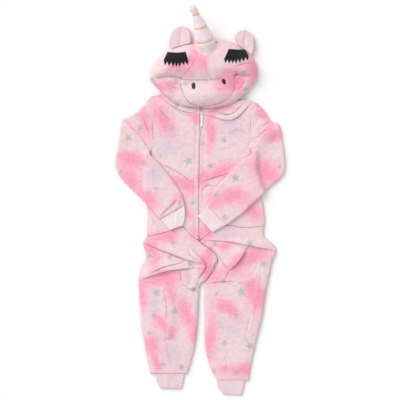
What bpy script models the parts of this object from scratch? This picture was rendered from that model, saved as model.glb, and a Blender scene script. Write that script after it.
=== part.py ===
"""A child's hooded unicorn jumpsuit in plush fleece, zipped up and laid flat on its back.

The garment lies face up: +Y runs from the ankles to the hood, +Z out of the floor. Back panels lie flat on
the floor, front panels lie on them, and the sleeves are folded over the front. Sizes in the tables are
millimetres on the floor, as the garment lies.
"""

import math
from collections import namedtuple

import bmesh
import bpy
import numpy as np

MM = 0.001

# Driving sizes, in millimetres
CLOTH = 3.0          # plush fleece wall
RIB = 1.8            # cuff rib wall
FELT = 1.2           # eyelash felt
STITCHED = 0.8       # embroidered nostrils
SEAM = 0.5           # free space between two pieces at a seam
MUZZLE_SEAM = 0.7    # the same inside the muzzle's rim, where its padding bulges over the seam
WAIST_SEAM = 2.0     # the same at the waist, whose seam sits in a groove
CROTCH_GAP = 3.0     # how far each leg's front stays from the foot of the zip
LOFT = 3.2           # air held between a front panel and the back panel
EDGE = 16.0          # width over which a front panel rounds down to its seam
HOOD_EDGE = 42.0     # the same for the crown of the hood
CHEEK_EDGE = 20.0    # the same for its cheeks
HOOD_RIM = 2.4       # how far the hood's sheet stays inside its outline, whose wall fills the rest
BROW = 41.0          # height of the hood's crown above its base
CHEEK = 15.0         # height of the hood below the face opening
LIMB = 9.6           # thickness of a flattened sleeve
CUFF = 7.2           # thickness of a flattened cuff
RAMP = 16.0          # width over which a sleeve climbs from the floor on to the body
RAMP_END = 7.0       # how far outside the body's side it has reached its full height
HORN_LENGTH = 135.0
HORN_TILT = 24.0     # degrees that the horn rises off the floor
HORN_LEAN = 15.5     # degrees that it leans to the wearer's right
ZIP_OPEN = 5.0       # half of the space between the front edges at the slider
ZIP_SHUT = 1.6       # the same lower down, where the edges meet over the teeth
TAPE = 1.0
TAB_LENGTH = 33.0
TAB_THICK = 1.6
# Right half of the pull tab and of its eye: distance from its middle, and along it from its pivot
TAB_PLATE = [(3.2, TAB_THICK / 2), (3.2, -8), (2.6, -12), (2.9, -TAB_LENGTH + 2), (1.8, -TAB_LENGTH)]
TAB_EYE = [(1.7, -TAB_THICK / 2), (1.7, -5.2)]
SLEEVE_AIR = 1.7     # free space between the body's front and a sleeve
NECK_AIR = 0.9       # the same between the body's front and the hood's lower edge
HORN_AIR = 1.4       # the same between the hood and the horn's foot
PATCH_AIR = 1.0      # the same under the eyelashes
SWELL = 12.0         # how much the hood is raised by what lies under its muzzle
PADDING = 6.5        # how much the muzzle is raised by its padding
RIM_PADDING = 1.0    # the same along its top seam
BACK_TO_NECK = (275.5, 0.055)   # the neck end of the hood's back: its height on the left, and its slope
BACK_LEFT = -104.0
CORE_INSET = 12.0    # how far the hidden layers stay inside the hood's outline
CORE_DEPTH = 6.0     # and below its upper panels
CORE_FOOT = 283.0    # how far down they reach
TAPE_EDGES = (1.3, 12.0)        # the zip tape's near and far edge from the line of the zip
TAPE_FOOT = -95.0

# Levels that change down the garment: how far up the change begins, and over what length
Step = namedtuple("Step", "start length")
OVER_BODY = Step(288, -14)      # the hood comes to lie on the front of the body
CROWN = Step(296, 52)           # the hood rises from its cheeks to its brow
CROWN_EDGE = Step(300, 60)      # and the rounding at its edge grows wider
ZIP_OPENS = Step(150, 45)       # the front edges part
ARMPIT = Step(132, -8)          # the sleeves come to lie on the body
UNDER_CUFFS = Step(-20, -30)    # the folds of the body's front flatten under the sleeve cuffs
BELOW_CUFFS = Step(-96, -16)    # the folds of the legs rise to their full height

# Faces of the panels, across and along, and of the tubes: round an end, over the top, underneath, along
FRONT_MESH = (9, 21)
LEG_MESH = (12, 26)
SLEEVE_MESH = (4, 6, 5, 24)
CUFF_MESH = (4, 4, 2, 4)
ANKLE_MESH = (4, 5, 2, 4)

BACK_TOP = CLOTH
FRONT_LOW = BACK_TOP + SEAM
BODY_TOP = FRONT_LOW + LOFT + CLOTH
SLEEVE_REST = BODY_TOP + SLEEVE_AIR

Fold = namedtuple("Fold", "x0 y0 x1 y1 x2 y2 height soft steep")
Section = namedtuple("Section", "outer_x outer_y inner_x inner_y")

# Seams shared by neighbouring panels, from the head down
ZIP_LINE = [(4, 252), (3, 207), (-1, 155), (-3, 77), (-4, -1), (-3, -104)]
WAIST_LEFT = [(-139, -96), (-92, -85), (-45, -71), (-22, -94), (-3, -106)]
WAIST_RIGHT = [(-3, -106), (12, -96), (30, -81), (59, -68), (116, -72), (165, -68)]
NECK_LEFT = [(-128, 268), (-104, 273), (-60, 266), (4, 252)]
NECK_RIGHT = [(4, 252), (60, 256), (104, 259), (132, 257)]
SIDE_LEFT = [
    (-128, 268), (-124, 200), (-121, 132), (-128, 119), (-130, 108), (-131, 77),
    (-134, 25), (-139, -8), (-136, -40), (-139, -66), (-139, -96),
]
SIDE_RIGHT = [
    (132, 257), (128, 195), (124, 135), (129, 121), (131, 108), (135, 77),
    (145, 38), (158, 7), (166, -40), (167, -55), (165, -68),
]
LEG_LEFT_OUTER = [
    (-139, -98), (-149, -113), (-144, -132), (-142, -155), (-151, -169), (-160, -197),
    (-160, -235), (-157, -280), (-153, -330), (-144, -380), (-138, -417), (-131, -451),
]
LEG_LEFT_INNER = [
    (-3, -108), (13, -122), (27, -131), (38, -141), (44, -149), (44, -158), (37, -170), (31, -184),
    (26, -193), (13, -209), (2, -217), (-2, -226), (-4, -250), (-7, -313), (-13, -370),
    (-23, -414), (-35, -451),
]
LEG_RIGHT_OUTER = [
    (165, -70), (163, -86), (167, -98), (181, -108), (195, -125), (195, -141),
    (187, -157), (183, -177), (173, -222), (160, -305), (145, -365), (131, -430), (125, -468),
]
LEG_RIGHT_INNER = [
    (-3, -108), (17, -119.5), (31, -129.5), (46, -144), (53, -156), (52, -168), (42, -183), (31, -192),
    (19.5, -208), (13, -218), (11, -240), (11, -313), (12, -378), (29, -443), (43, -468),
]

# Outline of the hood as it lies, anticlockwise from its top
HOOD_CENTRE = (10, 328)
HOOD_OUTLINE = [
    (18, 404), (-16, 405), (-52, 398), (-79, 387), (-106, 369), (-120, 347), (-128, 333),
    (-131, 322), (-130, 313), (-123, 303), (-112, 291), (-98, 277), (-78, 260), (-50, 245),
    (-8, 239), (12, 238), (60, 243), (91, 256), (113, 273), (129, 288), (141, 302),
    (148, 314), (149, 332), (147, 345), (142, 360), (127, 378), (102, 397), (72, 411), (46, 413),
]
# The face opening's shut mouth, as seen between the brow and the cheek
SLIT_LEFT = [(-107, 317), (-75, 320), (-50, 316)]
SLIT_RIGHT = [(95, 327), (106, 324), (127, 322)]
MUZZLE_TOP = [(-48, 312), (-14, 310), (23, 310), (50, 314), (67, 324), (80, 329)]
MUZZLE_RIGHT = [(66, 262), (85, 287), (87, 311), (80, 329)]
MUZZLE_BOTTOM = [(-35, 264), (-22, 253), (-2, 246), (15, 246), (41, 252), (66, 262)]
MUZZLE_LEFT = [(-35, 264), (-43, 278), (-48, 296), (-48, 312)]

# Sections of the hood's side panels, round the face opening from the horn to the zip
HOOD_LEFT = [
    Section(-8, 405, -8.5, 399), Section(-52, 398, -8, 376), Section(-79, 387, -15, 358),
    Section(-106, 369, -27, 341), Section(-120, 347, -50, 320.5), Section(-128, 333, -76, 322),
    Section(-131, 322, -99, 319.5), Section(-130, 313, -99, 315.5), Section(-123, 303, -80, 315.5),
    Section(-112, 291, -50.5, 311.5), Section(-98, 277, -50.5, 294), Section(-78, 260, -45, 277),
    Section(-50, 245, -37, 261.5), Section(-26, 241, -24.5, 250), Section(1, 239, -2, 243.3),
]
HOOD_RIGHT = [
    Section(45, 413, 43.5, 401), Section(72, 411, 20, 374), Section(102, 397, 12.5, 358),
    Section(127, 378, 15.5, 335), Section(142, 360, 30, 313.5), Section(147, 345, 58, 323.5),
    Section(149, 334, 85, 341), Section(149.5, 328, 103, 328.5), Section(149, 323, 121, 325.5),
    Section(148, 314, 119, 320), Section(141, 302, 92.5, 311), Section(129, 288, 89, 288),
    Section(113, 273, 80, 272), Section(91, 256, 67, 259.5), Section(60, 243, 43, 249),
    Section(32, 239.8, 20, 244.3), Section(7, 239, 4, 243.3),
]
BRIDGE_LEFT = [(-7.5, 399), (-7, 376), (-14, 358), (-26, 341), (-48, 314)]
BRIDGE_RIGHT = [(40.5, 401), (18.3, 374), (10.8, 358), (13.8, 335), (27, 311.5)]

# Sleeves run from the armhole, round the elbow, to the cuff
SLEEVE_LEFT = [
    Section(-131, 269, -123.3, 132.8), Section(-144, 251, -123.6, 132.4), Section(-161, 231, -124.5, 131),
    Section(-184, 216, -126.5, 130), Section(-204, 205, -128, 128), Section(-213, 148, -130, 124),
    Section(-221, 96, -130.5, 119), Section(-212, 63, -128, 114), Section(-180, 28, -104, 91),
    Section(-149, -1, -74, 54), Section(-127, -26, -53, 23), Section(-106, -50, -40, -12),
]
SLEEVE_RIGHT = [
    Section(134.1, 257.7, 125.3, 135.5), Section(149, 250, 126.4, 135), Section(166, 232, 127.5, 134),
    Section(184, 206, 129.5, 132.5), Section(205, 195, 131.5, 130), Section(215, 148, 133, 126),
    Section(221, 90, 132.5, 121), Section(213, 62, 129, 115), Section(179, 30, 105, 101),
    Section(147, 0, 72, 66), Section(111, -34, 40, 31), Section(68, -66, 17, -16),
]
CUFF_LEFT = [Section(-104.5, -51.3, -40.5, -13.5), Section(-92, -65, -39, -40), Section(-79, -79, -44, -66)]
CUFF_RIGHT = [Section(67.4, -66.7, 16.5, -16.6), Section(47, -76, 5, -31), Section(32, -85, -8, -42)]
ANKLE_LEFT = [
    Section(-120, -451.7, -40, -451.7), Section(-114, -471, -44, -471), Section(-107, -488, -49, -491),
]
ANKLE_RIGHT = [Section(42, -468.4, 117, -468.4), Section(46, -488, 113, -488), Section(58, -504, 107, -507)]

# Folds of the cloth: three points along the crest, height, width on its left and on its right
FRONT_LEFT_FOLDS = [
    Fold(-104, 268, -58, 236, -11, 222, 5, 12, 6),
    Fold(-114, 248, -96, 227, -74, 204, 2.5, 14, 8),
    Fold(-101, 92, -53, 70, -19, 41, 3.0, 14, 7),
]
FRONT_RIGHT_FOLDS = [
    Fold(22, 218, 80, 208, 130, 246, 5.5, 9, 6),
    Fold(30, 232, 78, 224, 112, 250, 4.5, 8, 6),
    Fold(70, 168, 98, 178, 124, 170, 2, 12, 8),
    Fold(10, 48, 34, 58, 70, 68, 3.5, 14, 7),
]
LEG_LEFT_FOLDS = [
    Fold(-147, -113, -73, -141, 2, -169, 10, 14, 6),
    Fold(-151, -208, -91, -183, -14, -178, 11, 14, 6),
    Fold(-51, -183, -48, -202, -43, -224, 6, 13, 6),
    Fold(-42, -224, -26, -230, -6, -231, 4, 12, 7),
    Fold(-6, -210, 10, -166, -18, -134, 6, 16, 7),
    Fold(4, -124, 33, -150, 22, -190, 5, 9, 9),
    Fold(-93, -236, -85, -292, -90, -366, 5, 14, 7),
    Fold(-89, -366, -74, -406, -73, -446, 4, 12, 7),
]
LEG_RIGHT_FOLDS = [
    Fold(15, -106, 98, -112, 187, -133, 10, 14, 6),
    Fold(76, -185, 103, -154, 122, -126, 11, 16, 6),
    Fold(30, -126, 48, -146, 70, -180, 7, 15, 7),
    Fold(141, -75, 145, -94, 147, -112, 3, 9, 7),
    Fold(160, -162, 150, -260, 121, -378, 4, 14, 10),
    Fold(18, -220, 51, -211, 93, -214, 3, 9, 7),
]
SLEEVE_LEFT_FOLDS = [
    Fold(-125, 119, -175, 174, -201, 210, 5, 16, 6),
    Fold(-151, 240, -141, 207, -126, 163, 4, 10, 7),
    Fold(-106, -46, -93, -34, -58, 2, 4, 12, 6),
]
SLEEVE_RIGHT_FOLDS = [
    Fold(198, 197, 161, 153, 131, 126, 5, 16, 6),
    Fold(161, 189, 177, 200, 195, 205, 2.5, 8, 6),
]
HOOD_FOLDS = [
    Fold(87, 343, 115, 352, 139, 352, 4, 12, 6),
    Fold(-120, 345, -95, 344, -72, 350, 2.5, 10, 7),
    Fold(-92, 308, -70, 292, -52, 284, 3, 8, 6),
]

# Horn: distance from its base, and radius, drawn in where the gold thread is wound
HORN_PROFILE = [
    (-22, 22.5), (0, 23.5), (14, 25.6), (26, 25.6), (30, 24.2), (34, 24.8), (50, 21.2), (64, 17.4),
    (68, 15.6), (72, 16.2), (88, 13.0), (102, 9.8), (106, 8.4), (110, 9.6), (119, 10.3),
    (128, 8.6), (133, 5.0), (HORN_LENGTH, 0.0),
]
HORN_BASE = (18, 388, 27)

EAR_LEFT = {"left": [(-81, 392.3), (-79, 413), (-72, 433), (-63, 446), (-48, 450)],
            "right": [(-25, 407.3), (-23, 420), (-25, 433), (-33, 446), (-48, 450)]}
EAR_RIGHT = {"left": [(99.9, 402.6), (91, 412), (90, 421), (96, 433), (117, 442)],
             "right": [(134.8, 374.6), (140, 388), (141, 404), (138, 424), (117, 442)]}
EAR_LOW = 8.0        # height of the ear's root
EAR_RISE = 4.0       # how much higher its tip lies
EAR_PLEAT = 3.0      # depth of the pleat down its middle
EAR_DISH = 2.0       # how far its sides curl up
EAR_RIM = 3.0        # how far the inner layer stays inside the outer one
EAR_TIP = 0.97       # share of the ear's length at which its rows end
PLEAT_WIDTH = 0.10

# Eyelashes: upper edge and lower edge, from left to right, then how far the tips reach
LASH_LEFT = {"upper": [(-82, 379), (-60, 378), (-38, 380)], "lower": [(-92, 361), (-62, 356), (-31, 361)]}
LASH_RIGHT = {"upper": [(73, 389), (93, 386), (113, 384)], "lower": [(62, 369), (92, 363), (122, 369)]}
LASH_TIP = 8.0
LASH_COUNT = 7
NOSTRIL_LEFT = (-17, 295, 5.0, 9.0, 0)
NOSTRIL_RIGHT = (61, 307, 5.0, 8.0, 20)

PINK = (0.93, 0.76, 0.81, 1)
PALE = (0.93, 0.80, 0.85, 1)
WHITE = (0.95, 0.90, 0.92, 1)
LILAC = (0.88, 0.80, 0.88, 1)
BLACK = (0.02, 0.02, 0.02, 1)
STEEL = (0.78, 0.76, 0.77, 1)


def curve(points, share):
    """Points at each share, from 0 to 1, of the smooth curve through some points, spaced by its length."""
    points = np.array(points, float)
    steps = np.linalg.norm(np.diff(points[:, :2], axis=0), axis=1)
    knots = np.concatenate([[0], np.cumsum(steps)]) / steps.sum()
    return hermite(points, knots, share)


def rows(points, share):
    """The same, but with the table's rows evenly spaced, so that two tables stay in step."""
    points = np.array(points, float)
    return hermite(points, np.linspace(0, 1, len(points)), share)


def hermite(points, knots, share):
    """A smooth curve through points that stand at the given knots."""
    share = np.atleast_1d(np.asarray(share, float))
    slopes = np.gradient(points, knots, axis=0)
    k = np.clip(np.searchsorted(knots, share, side="right") - 1, 0, len(knots) - 2)
    width = (knots[k + 1] - knots[k])[:, None]
    u = ((share - knots[k]) / width[:, 0])[:, None]
    return (
        (2 * u**3 - 3 * u**2 + 1) * points[k] + (u**3 - 2 * u**2 + u) * width * slopes[k]
        + (3 * u**2 - 2 * u**3) * points[k + 1] + (u**3 - u**2) * width * slopes[k + 1]
    )


def smooth(value):
    """0 below 0, 1 above 1, and a soft step between."""
    value = np.clip(value, 0, 1)
    return value * value * (3 - 2 * value)


def changed(step, y):
    """How far a level has changed at y: 0 before the step begins and 1 after its end."""
    return smooth((y - step.start) / step.length)


def rounded(distance, width):
    """Rise of a padded edge: a quarter of an ellipse over width, then level."""
    rest = 1 - np.clip(distance / width, 0, 1)
    return np.sqrt(1 - rest**2)


def near(points, x, y):
    """Distance from each x, y to a curve, which side of it they lie, and how far along it."""
    along = np.linspace(0, 1, 33)
    line = curve(points, along)
    way = np.gradient(line, axis=0)
    flat_x, flat_y = np.ravel(x), np.ravel(y)
    dx, dy = flat_x[:, None] - line[:, 0], flat_y[:, None] - line[:, 1]
    best = np.argmin(dx**2 + dy**2, axis=1)
    pick = np.arange(len(best))
    dx, dy, way = dx[pick, best], dy[pick, best], way[best]
    side = np.sign(way[:, 0] * dy - way[:, 1] * dx)
    shape = np.shape(x)
    return np.hypot(dx, dy).reshape(shape), side.reshape(shape), along[best].reshape(shape)


def folds(table, x, y):
    """Height that the folds add: each is soft on the left of its crest and steep on the right."""
    total = np.zeros(np.shape(x))
    for fold in table:
        crest = [(fold.x0, fold.y0), (fold.x1, fold.y1), (fold.x2, fold.y2)]
        distance, side, along = near(crest, x, y)
        width = np.where(side > 0, fold.soft, fold.steep)
        taper = np.sin(np.pi * np.clip(along, 0.02, 0.98)) ** 0.5
        total = total + fold.height * taper * np.exp(-((distance / width) ** 2))
    return total


def patch(left, right, bottom, top, across, along):
    """x and y of a grid between four curves. Left and right run up, bottom and top run to the right."""
    t, s = np.meshgrid(across, along, indexing="ij")
    low, high = np.array(bottom[0], float), np.array(top[0], float)
    low_end, high_end = np.array(bottom[-1], float), np.array(top[-1], float)
    left_xy = curve(left, s.ravel()).reshape(*s.shape, 2)
    right_xy = curve(right, s.ravel()).reshape(*s.shape, 2)
    bottom_xy = curve(bottom, t.ravel()).reshape(*s.shape, 2)
    top_xy = curve(top, t.ravel()).reshape(*s.shape, 2)
    t, s = t[..., None], s[..., None]
    corners = (1 - s) * ((1 - t) * low + t * low_end) + s * ((1 - t) * high + t * high_end)
    xy = (1 - t) * left_xy + t * right_xy + (1 - s) * bottom_xy + s * top_xy - corners
    return xy[..., 0], xy[..., 1]


def hood_radius(angle):
    """Distance from the hood's centre to its outline in that direction."""
    outline = np.array(HOOD_OUTLINE, float) - HOOD_CENTRE
    turn = np.unwrap(np.arctan2(outline[:, 1], outline[:, 0]))
    radius = np.hypot(outline[:, 0], outline[:, 1])
    turn = np.concatenate([turn - 2 * np.pi, turn, turn + 2 * np.pi])
    radius = np.tile(radius, 3)
    wanted = np.mod(angle - turn[0], 2 * np.pi) + turn[0] + 2 * np.pi
    return np.interp(wanted, turn, radius)


def hood_base(x, y):
    """Height of what the hood lies on: its own back panel, and lower down the front of the body."""
    body = BODY_TOP + NECK_AIR + folds(FRONT_LEFT_FOLDS[:2] + FRONT_RIGHT_FOLDS[:2], x, y)
    return FRONT_LOW + (body - FRONT_LOW) * changed(OVER_BODY, y)


def hood_rise(x, y, slit_depth, slit_width):
    """How high the hood's upper panels stand over what the hood lies on."""
    dx, dy = x - HOOD_CENTRE[0], y - HOOD_CENTRE[1]
    edge = hood_radius(np.arctan2(dy, dx)) - HOOD_RIM - np.hypot(dx, dy)
    crown = CHEEK + (BROW - CHEEK) * changed(CROWN, y)
    width = CHEEK_EDGE + (HOOD_EDGE - CHEEK_EDGE) * changed(CROWN_EDGE, y)
    slit = 0
    for line in (SLIT_LEFT, SLIT_RIGHT):
        distance, _, _ = near(line, x, y)
        slit = slit + slit_depth * np.exp(-((distance / slit_width) ** 2))
    swell = SWELL * np.exp(-(((x - 18) / 52) ** 2) - ((y - 292) / 40) ** 2)
    return np.maximum((crown + swell - slit + folds(HOOD_FOLDS, x, y)) * rounded(edge, width), 0)


def hood_height(x, y):
    """Underside of the hood's upper panels."""
    return hood_base(x, y) + hood_rise(x, y, 9, 8)


def muzzle_height(x, y):
    """Underside of the padded muzzle: above the hood inside its rim, level with it along its top seam."""
    from_rim, _, _ = near(MUZZLE_LEFT[::-1] + MUZZLE_BOTTOM[1:] + MUZZLE_RIGHT[1:], x, y)
    from_top, _, _ = near(MUZZLE_TOP, x, y)
    swell = np.sin(np.pi / 2 * np.clip(from_rim / 24, 0, 1))
    return hood_height(x, y) + swell * (RIM_PADDING + PADDING * smooth(from_top / 26))


def raised(surface, x, y, offset):
    """x, y, z of points moved out of a surface along its normal."""
    step = 0.5
    slope_x = (surface(x + step, y) - surface(x - step, y)) / (2 * step)
    slope_y = (surface(x, y + step) - surface(x, y - step)) / (2 * step)
    length = np.sqrt(1 + slope_x**2 + slope_y**2)
    z = surface(x, y)
    moved = [x - slope_x / length * offset, y - slope_y / length * offset, z + offset / length]
    return np.stack(moved, axis=-1)


def body_edge(x, y):
    """How far a point lies inside the side seams of the body, negative outside."""
    left = curve(SIDE_LEFT, np.linspace(0, 1, 60))
    right = curve(SIDE_RIGHT, np.linspace(0, 1, 60))
    from_left = x - np.interp(y, left[::-1, 1], left[::-1, 0])
    from_right = np.interp(y, right[::-1, 1], right[::-1, 0]) - x
    return np.minimum(from_left, from_right)


def body_support(x, y):
    """Height of what a folded sleeve rests on: the front of the body, or the floor beside it."""
    return SLEEVE_REST * smooth((body_edge(x, y) + RAMP + RAMP_END) / RAMP)


def grid_mesh(name, points, closed=False):
    """A mesh from a grid of points, in millimetres, welded along its length if it goes all round."""
    nu, nv = points.shape[0] - 1, points.shape[1] - 1
    bm = bmesh.new()
    bmesh.ops.create_grid(bm, x_segments=nu, y_segments=nv, size=1.0)
    for vert in bm.verts:
        i = round((vert.co.x + 1) / 2 * nu)
        j = round((vert.co.y + 1) / 2 * nv)
        vert.co = points[i, j] * MM
    if closed:
        bmesh.ops.remove_doubles(bm, verts=bm.verts, dist=1e-6)
    bm.normal_update()
    mesh = bpy.data.meshes.new(name)
    bm.to_mesh(mesh)
    bm.free()
    return mesh


def add(name, data, material):
    """Link an object of the jumpsuit, shaded smooth."""
    obj = bpy.data.objects.new(name, data)
    PART.objects.link(obj)
    data.materials.append(material)
    if isinstance(data, bpy.types.Mesh):
        data.shade_smooth()
    return obj


def wall(obj, thickness, offset):
    """Give an open sheet its thickness, outwards for offset 1 and inwards for -1."""
    shell = obj.modifiers.new("wall", "SOLIDIFY")
    shell.thickness = thickness * MM
    shell.offset = offset
    shell.use_quality_normals = True
    return obj


def sheet(name, sides, surface, counts, material, thickness=CLOTH, gap=SEAM / 2):
    """A panel of cloth cut between four curves and lying on a surface."""
    left, right, bottom, top = sides
    span = np.linalg.norm(np.subtract(curve(right, 0.5)[0], curve(left, 0.5)[0]))
    reach = np.linalg.norm(np.subtract(curve(top, 0.5)[0], curve(bottom, 0.5)[0]))
    across = np.linspace(gap / span, 1 - gap / span, counts[0] + 1)
    along = np.linspace(gap / reach, 1 - gap / reach, counts[1] + 1)
    x, y = patch(left, right, bottom, top, across, along)
    t, s = np.meshgrid(across, along, indexing="ij")
    points = np.stack([x, y, surface(x, y, t, s)], axis=-1)
    return wall(add(name, grid_mesh(name, points), material), thickness, 1)


def front_surface(left, right, fold_table, round_left, round_right, calm=None):
    """Underside of a front panel: rounded down to the side seams, level at an edge that is free."""
    def surface(x, y, t, s):
        width = np.linalg.norm(curve(right, s.ravel()) - curve(left, s.ravel()), axis=1).reshape(s.shape)
        rise = np.ones(s.shape)
        if round_left:
            rise = rise * rounded(t * width, EDGE)
        if round_right:
            rise = rise * rounded((1 - t) * width, EDGE)
        lift = folds(fold_table, x, y)
        if calm is not None:
            lift = lift * calm(x, y)
        return FRONT_LOW + LOFT * rise + lift * rise
    return surface


def flat_back(name, outline, material):
    """A back panel: a flat outline lying on the floor."""
    data = bpy.data.curves.new(name, "CURVE")
    data.dimensions = "2D"
    data.fill_mode = "BOTH"
    data.extrude = CLOTH / 2 * MM
    spline = data.splines.new("POLY")
    spline.points.add(len(outline) - 1)
    for point, (x, y) in zip(spline.points, outline):
        point.co = (x * MM, y * MM, 0, 1)
    spline.use_cyclic_u = True
    obj = add(name, data, material)
    obj.location.z = CLOTH / 2 * MM
    return obj


def shrunk(outline, inset):
    """An outline drawn in by a small distance, along its own normals."""
    outline = np.array(outline, float)
    way = np.roll(outline, -1, axis=0) - np.roll(outline, 1, axis=0)
    normal = np.stack([-way[:, 1], way[:, 0]], axis=1) / np.linalg.norm(way, axis=1)[:, None]
    area = np.sum(outline[:, 0] * np.roll(outline[:, 1], -1) - np.roll(outline[:, 0], -1) * outline[:, 1])
    return outline + normal * inset * np.sign(area)


def joined(*curves_and_counts):
    """One closed outline from several curves, each given with its number of steps."""
    points = [curve(line, np.linspace(0, 1, count + 1))[:-1] for line, count in curves_and_counts]
    return np.concatenate(points)


def ring_template(side_steps, top_steps, bottom_steps):
    """A flattened ring, with round ends, as rows of (end, inset in half heights, share across, height)."""
    template = []
    for k in range(side_steps + 1):
        angle = math.pi / 2 * (2 * k / side_steps - 1)
        template.append((0, 1 - math.cos(angle), None, (1 + math.sin(angle)) / 2))
    for k in range(1, top_steps):
        template.append((None, None, k / top_steps, 1.0))
    for k in range(side_steps, -1, -1):
        angle = math.pi / 2 * (2 * k / side_steps - 1)
        template.append((1, 1 - math.cos(angle), None, (1 + math.sin(angle)) / 2))
    for k in range(bottom_steps - 1, 0, -1):
        template.append((None, None, k / bottom_steps, 0.0))
    template.append(template[0])
    return template


def tube(name, sections, height, support, fold_table, counts, thickness, material):
    """A flattened tube of cloth through a table of sections, resting on a surface."""
    side_steps, top_steps, bottom_steps, along_steps = counts
    table = rows(sections, np.linspace(0, 1, along_steps + 1))
    template = ring_template(side_steps, top_steps, bottom_steps)
    points = np.zeros((len(template), along_steps + 1, 3))
    half = height / 2
    for j, (outer_x, outer_y, inner_x, inner_y) in enumerate(table):
        outer, inner = np.array([outer_x, outer_y]), np.array([inner_x, inner_y])
        width = np.linalg.norm(inner - outer)
        for i, (end, inset, fraction, rise) in enumerate(template):
            if end is None:
                share = (half + fraction * (width - 2 * half)) / width
            else:
                share = inset * half / width if end == 0 else 1 - inset * half / width
            points[i, j, :2] = outer + share * (inner - outer)
            points[i, j, 2] = rise * height
    x, y = points[..., 0], points[..., 1]
    upper = smooth(points[..., 2] / height * 2 - 1)
    points[..., 2] += support(x, y) + folds(fold_table, x, y) * upper
    way_round = 1 if ring_turns_out(points) else -1
    return wall(add(name, grid_mesh(name, points[::way_round], closed=True), material), thickness, -1)


def ring_turns_out(points):
    """Whether the grid's faces point out of the tube as they are ordered."""
    around, along = points[1, 0] - points[0, 0], points[0, 1] - points[0, 0]
    outward = points[0, 0] - points[:-1, 0].mean(axis=0)
    return float(np.dot(np.cross(around, along), outward)) > 0


def floor(x, y):
    """The floor, as the surface on which a tube rests."""
    return np.zeros(np.shape(x))


def body_front(x, y):
    """The level front of the body, as the surface on which a cuff rests."""
    return np.full(np.shape(x), SLEEVE_REST)


def zip_edge(side):
    """The front edge beside the zip: open round the slider at the top, closed over the teeth lower down."""
    line = curve(ZIP_LINE, np.linspace(0, 1, 12))
    offset = ZIP_SHUT + (ZIP_OPEN - ZIP_SHUT) * changed(ZIP_OPENS, line[:, 1])
    return [(x + side * o, y) for (x, y), o in zip(line, offset)]


def up(line):
    """The same line from its other end."""
    return list(reversed(line))


def body_backs():
    """The back of the body and of both legs, flat on the floor."""
    torso = joined((NECK_LEFT, 8), (NECK_RIGHT, 8), (SIDE_RIGHT, 18), (up(WAIST_RIGHT), 8),
                   (up(WAIST_LEFT), 8), (up(SIDE_LEFT), 18))
    flat_back("torso_back", shrunk(torso, SEAM / 2), FLEECE)
    crotch_left = [(-3, -108), (22, -135), (30, -160), (24, -186), (13, -206), (0, -221), (-5, -250)]
    crotch_right = [(-3, -108), (24, -135), (33, -160), (38, -184), (25, -200), (16, -214), (12, -240)]
    lower_left = [p for p in LEG_LEFT_INNER if p[1] < -250]
    lower_right = [p for p in LEG_RIGHT_INNER if p[1] < -240]
    left = joined((WAIST_LEFT, 8), (crotch_left, 10), ([crotch_left[-1]] + lower_left, 10),
                  ([LEG_LEFT_INNER[-1], LEG_LEFT_OUTER[-1]], 1), (up(LEG_LEFT_OUTER), 26))
    right = joined((up(crotch_right), 10), (WAIST_RIGHT, 8), (LEG_RIGHT_OUTER, 26),
                   ([LEG_RIGHT_OUTER[-1], LEG_RIGHT_INNER[-1]], 1),
                   (up(lower_right) + [crotch_right[-1]], 10))
    left[:9, 1] -= SEAM
    right[10:19, 1] -= SEAM
    flat_back("leg_back_left", shrunk(left, SEAM / 2), FLEECE)
    flat_back("leg_back_right", shrunk(right, SEAM / 2), FLEECE)


def body_fronts():
    """Two front panels either side of the zip, and the front of each leg."""
    def under_sleeves(x, y):
        return 1 - changed(UNDER_CUFFS, y)

    left_zip, right_zip = zip_edge(-1), zip_edge(1)
    waist_left = [tuple(p) for p in curve(WAIST_LEFT, np.linspace(0, 1, 17)) if p[0] < left_zip[-1][0] - 3]
    waist_right = [tuple(p) for p in curve(WAIST_RIGHT, np.linspace(0, 1, 17)) if p[0] > right_zip[-1][0] + 3]
    left = [up(SIDE_LEFT), up(left_zip), waist_left + [left_zip[-1]], NECK_LEFT[:-1] + [left_zip[0]]]
    right = [up(right_zip), up(SIDE_RIGHT), [right_zip[-1]] + waist_right, [right_zip[0]] + NECK_RIGHT[1:]]
    on_left = front_surface(left[0], left[1], FRONT_LEFT_FOLDS, True, False, under_sleeves)
    on_right = front_surface(right[0], right[1], FRONT_RIGHT_FOLDS, False, True, under_sleeves)
    sheet("front_left", left, on_left, FRONT_MESH, FLEECE)
    sheet("front_right", right, on_right, FRONT_MESH, FLEECE)

    def below_cuffs(x, y):
        return changed(BELOW_CUFFS, y)

    legs = (
        ("leg_front_left", LEG_LEFT_OUTER, LEG_LEFT_INNER, WAIST_LEFT, LEG_LEFT_FOLDS),
        ("leg_front_right", LEG_RIGHT_INNER, LEG_RIGHT_OUTER, WAIST_RIGHT, LEG_RIGHT_FOLDS),
    )
    for name, low_x, high_x, waist, table in legs:
        top = [tuple(p) for p in curve(waist, np.linspace(0, 1, 17)) - [0, WAIST_SEAM]]
        crotch, way = (0, 1) if name.endswith("right") else (-1, -1)
        top[crotch] = (top[crotch][0] + way * CROTCH_GAP, top[crotch][1])
        low_x, high_x = [top[0]] + low_x[1:], [top[-1]] + high_x[1:]
        sides = [up(low_x), up(high_x), [low_x[-1], high_x[-1]], top]
        surface = front_surface(sides[0], sides[1], table, True, True, below_cuffs)
        sheet(name, sides, surface, LEG_MESH, FLEECE)


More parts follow.
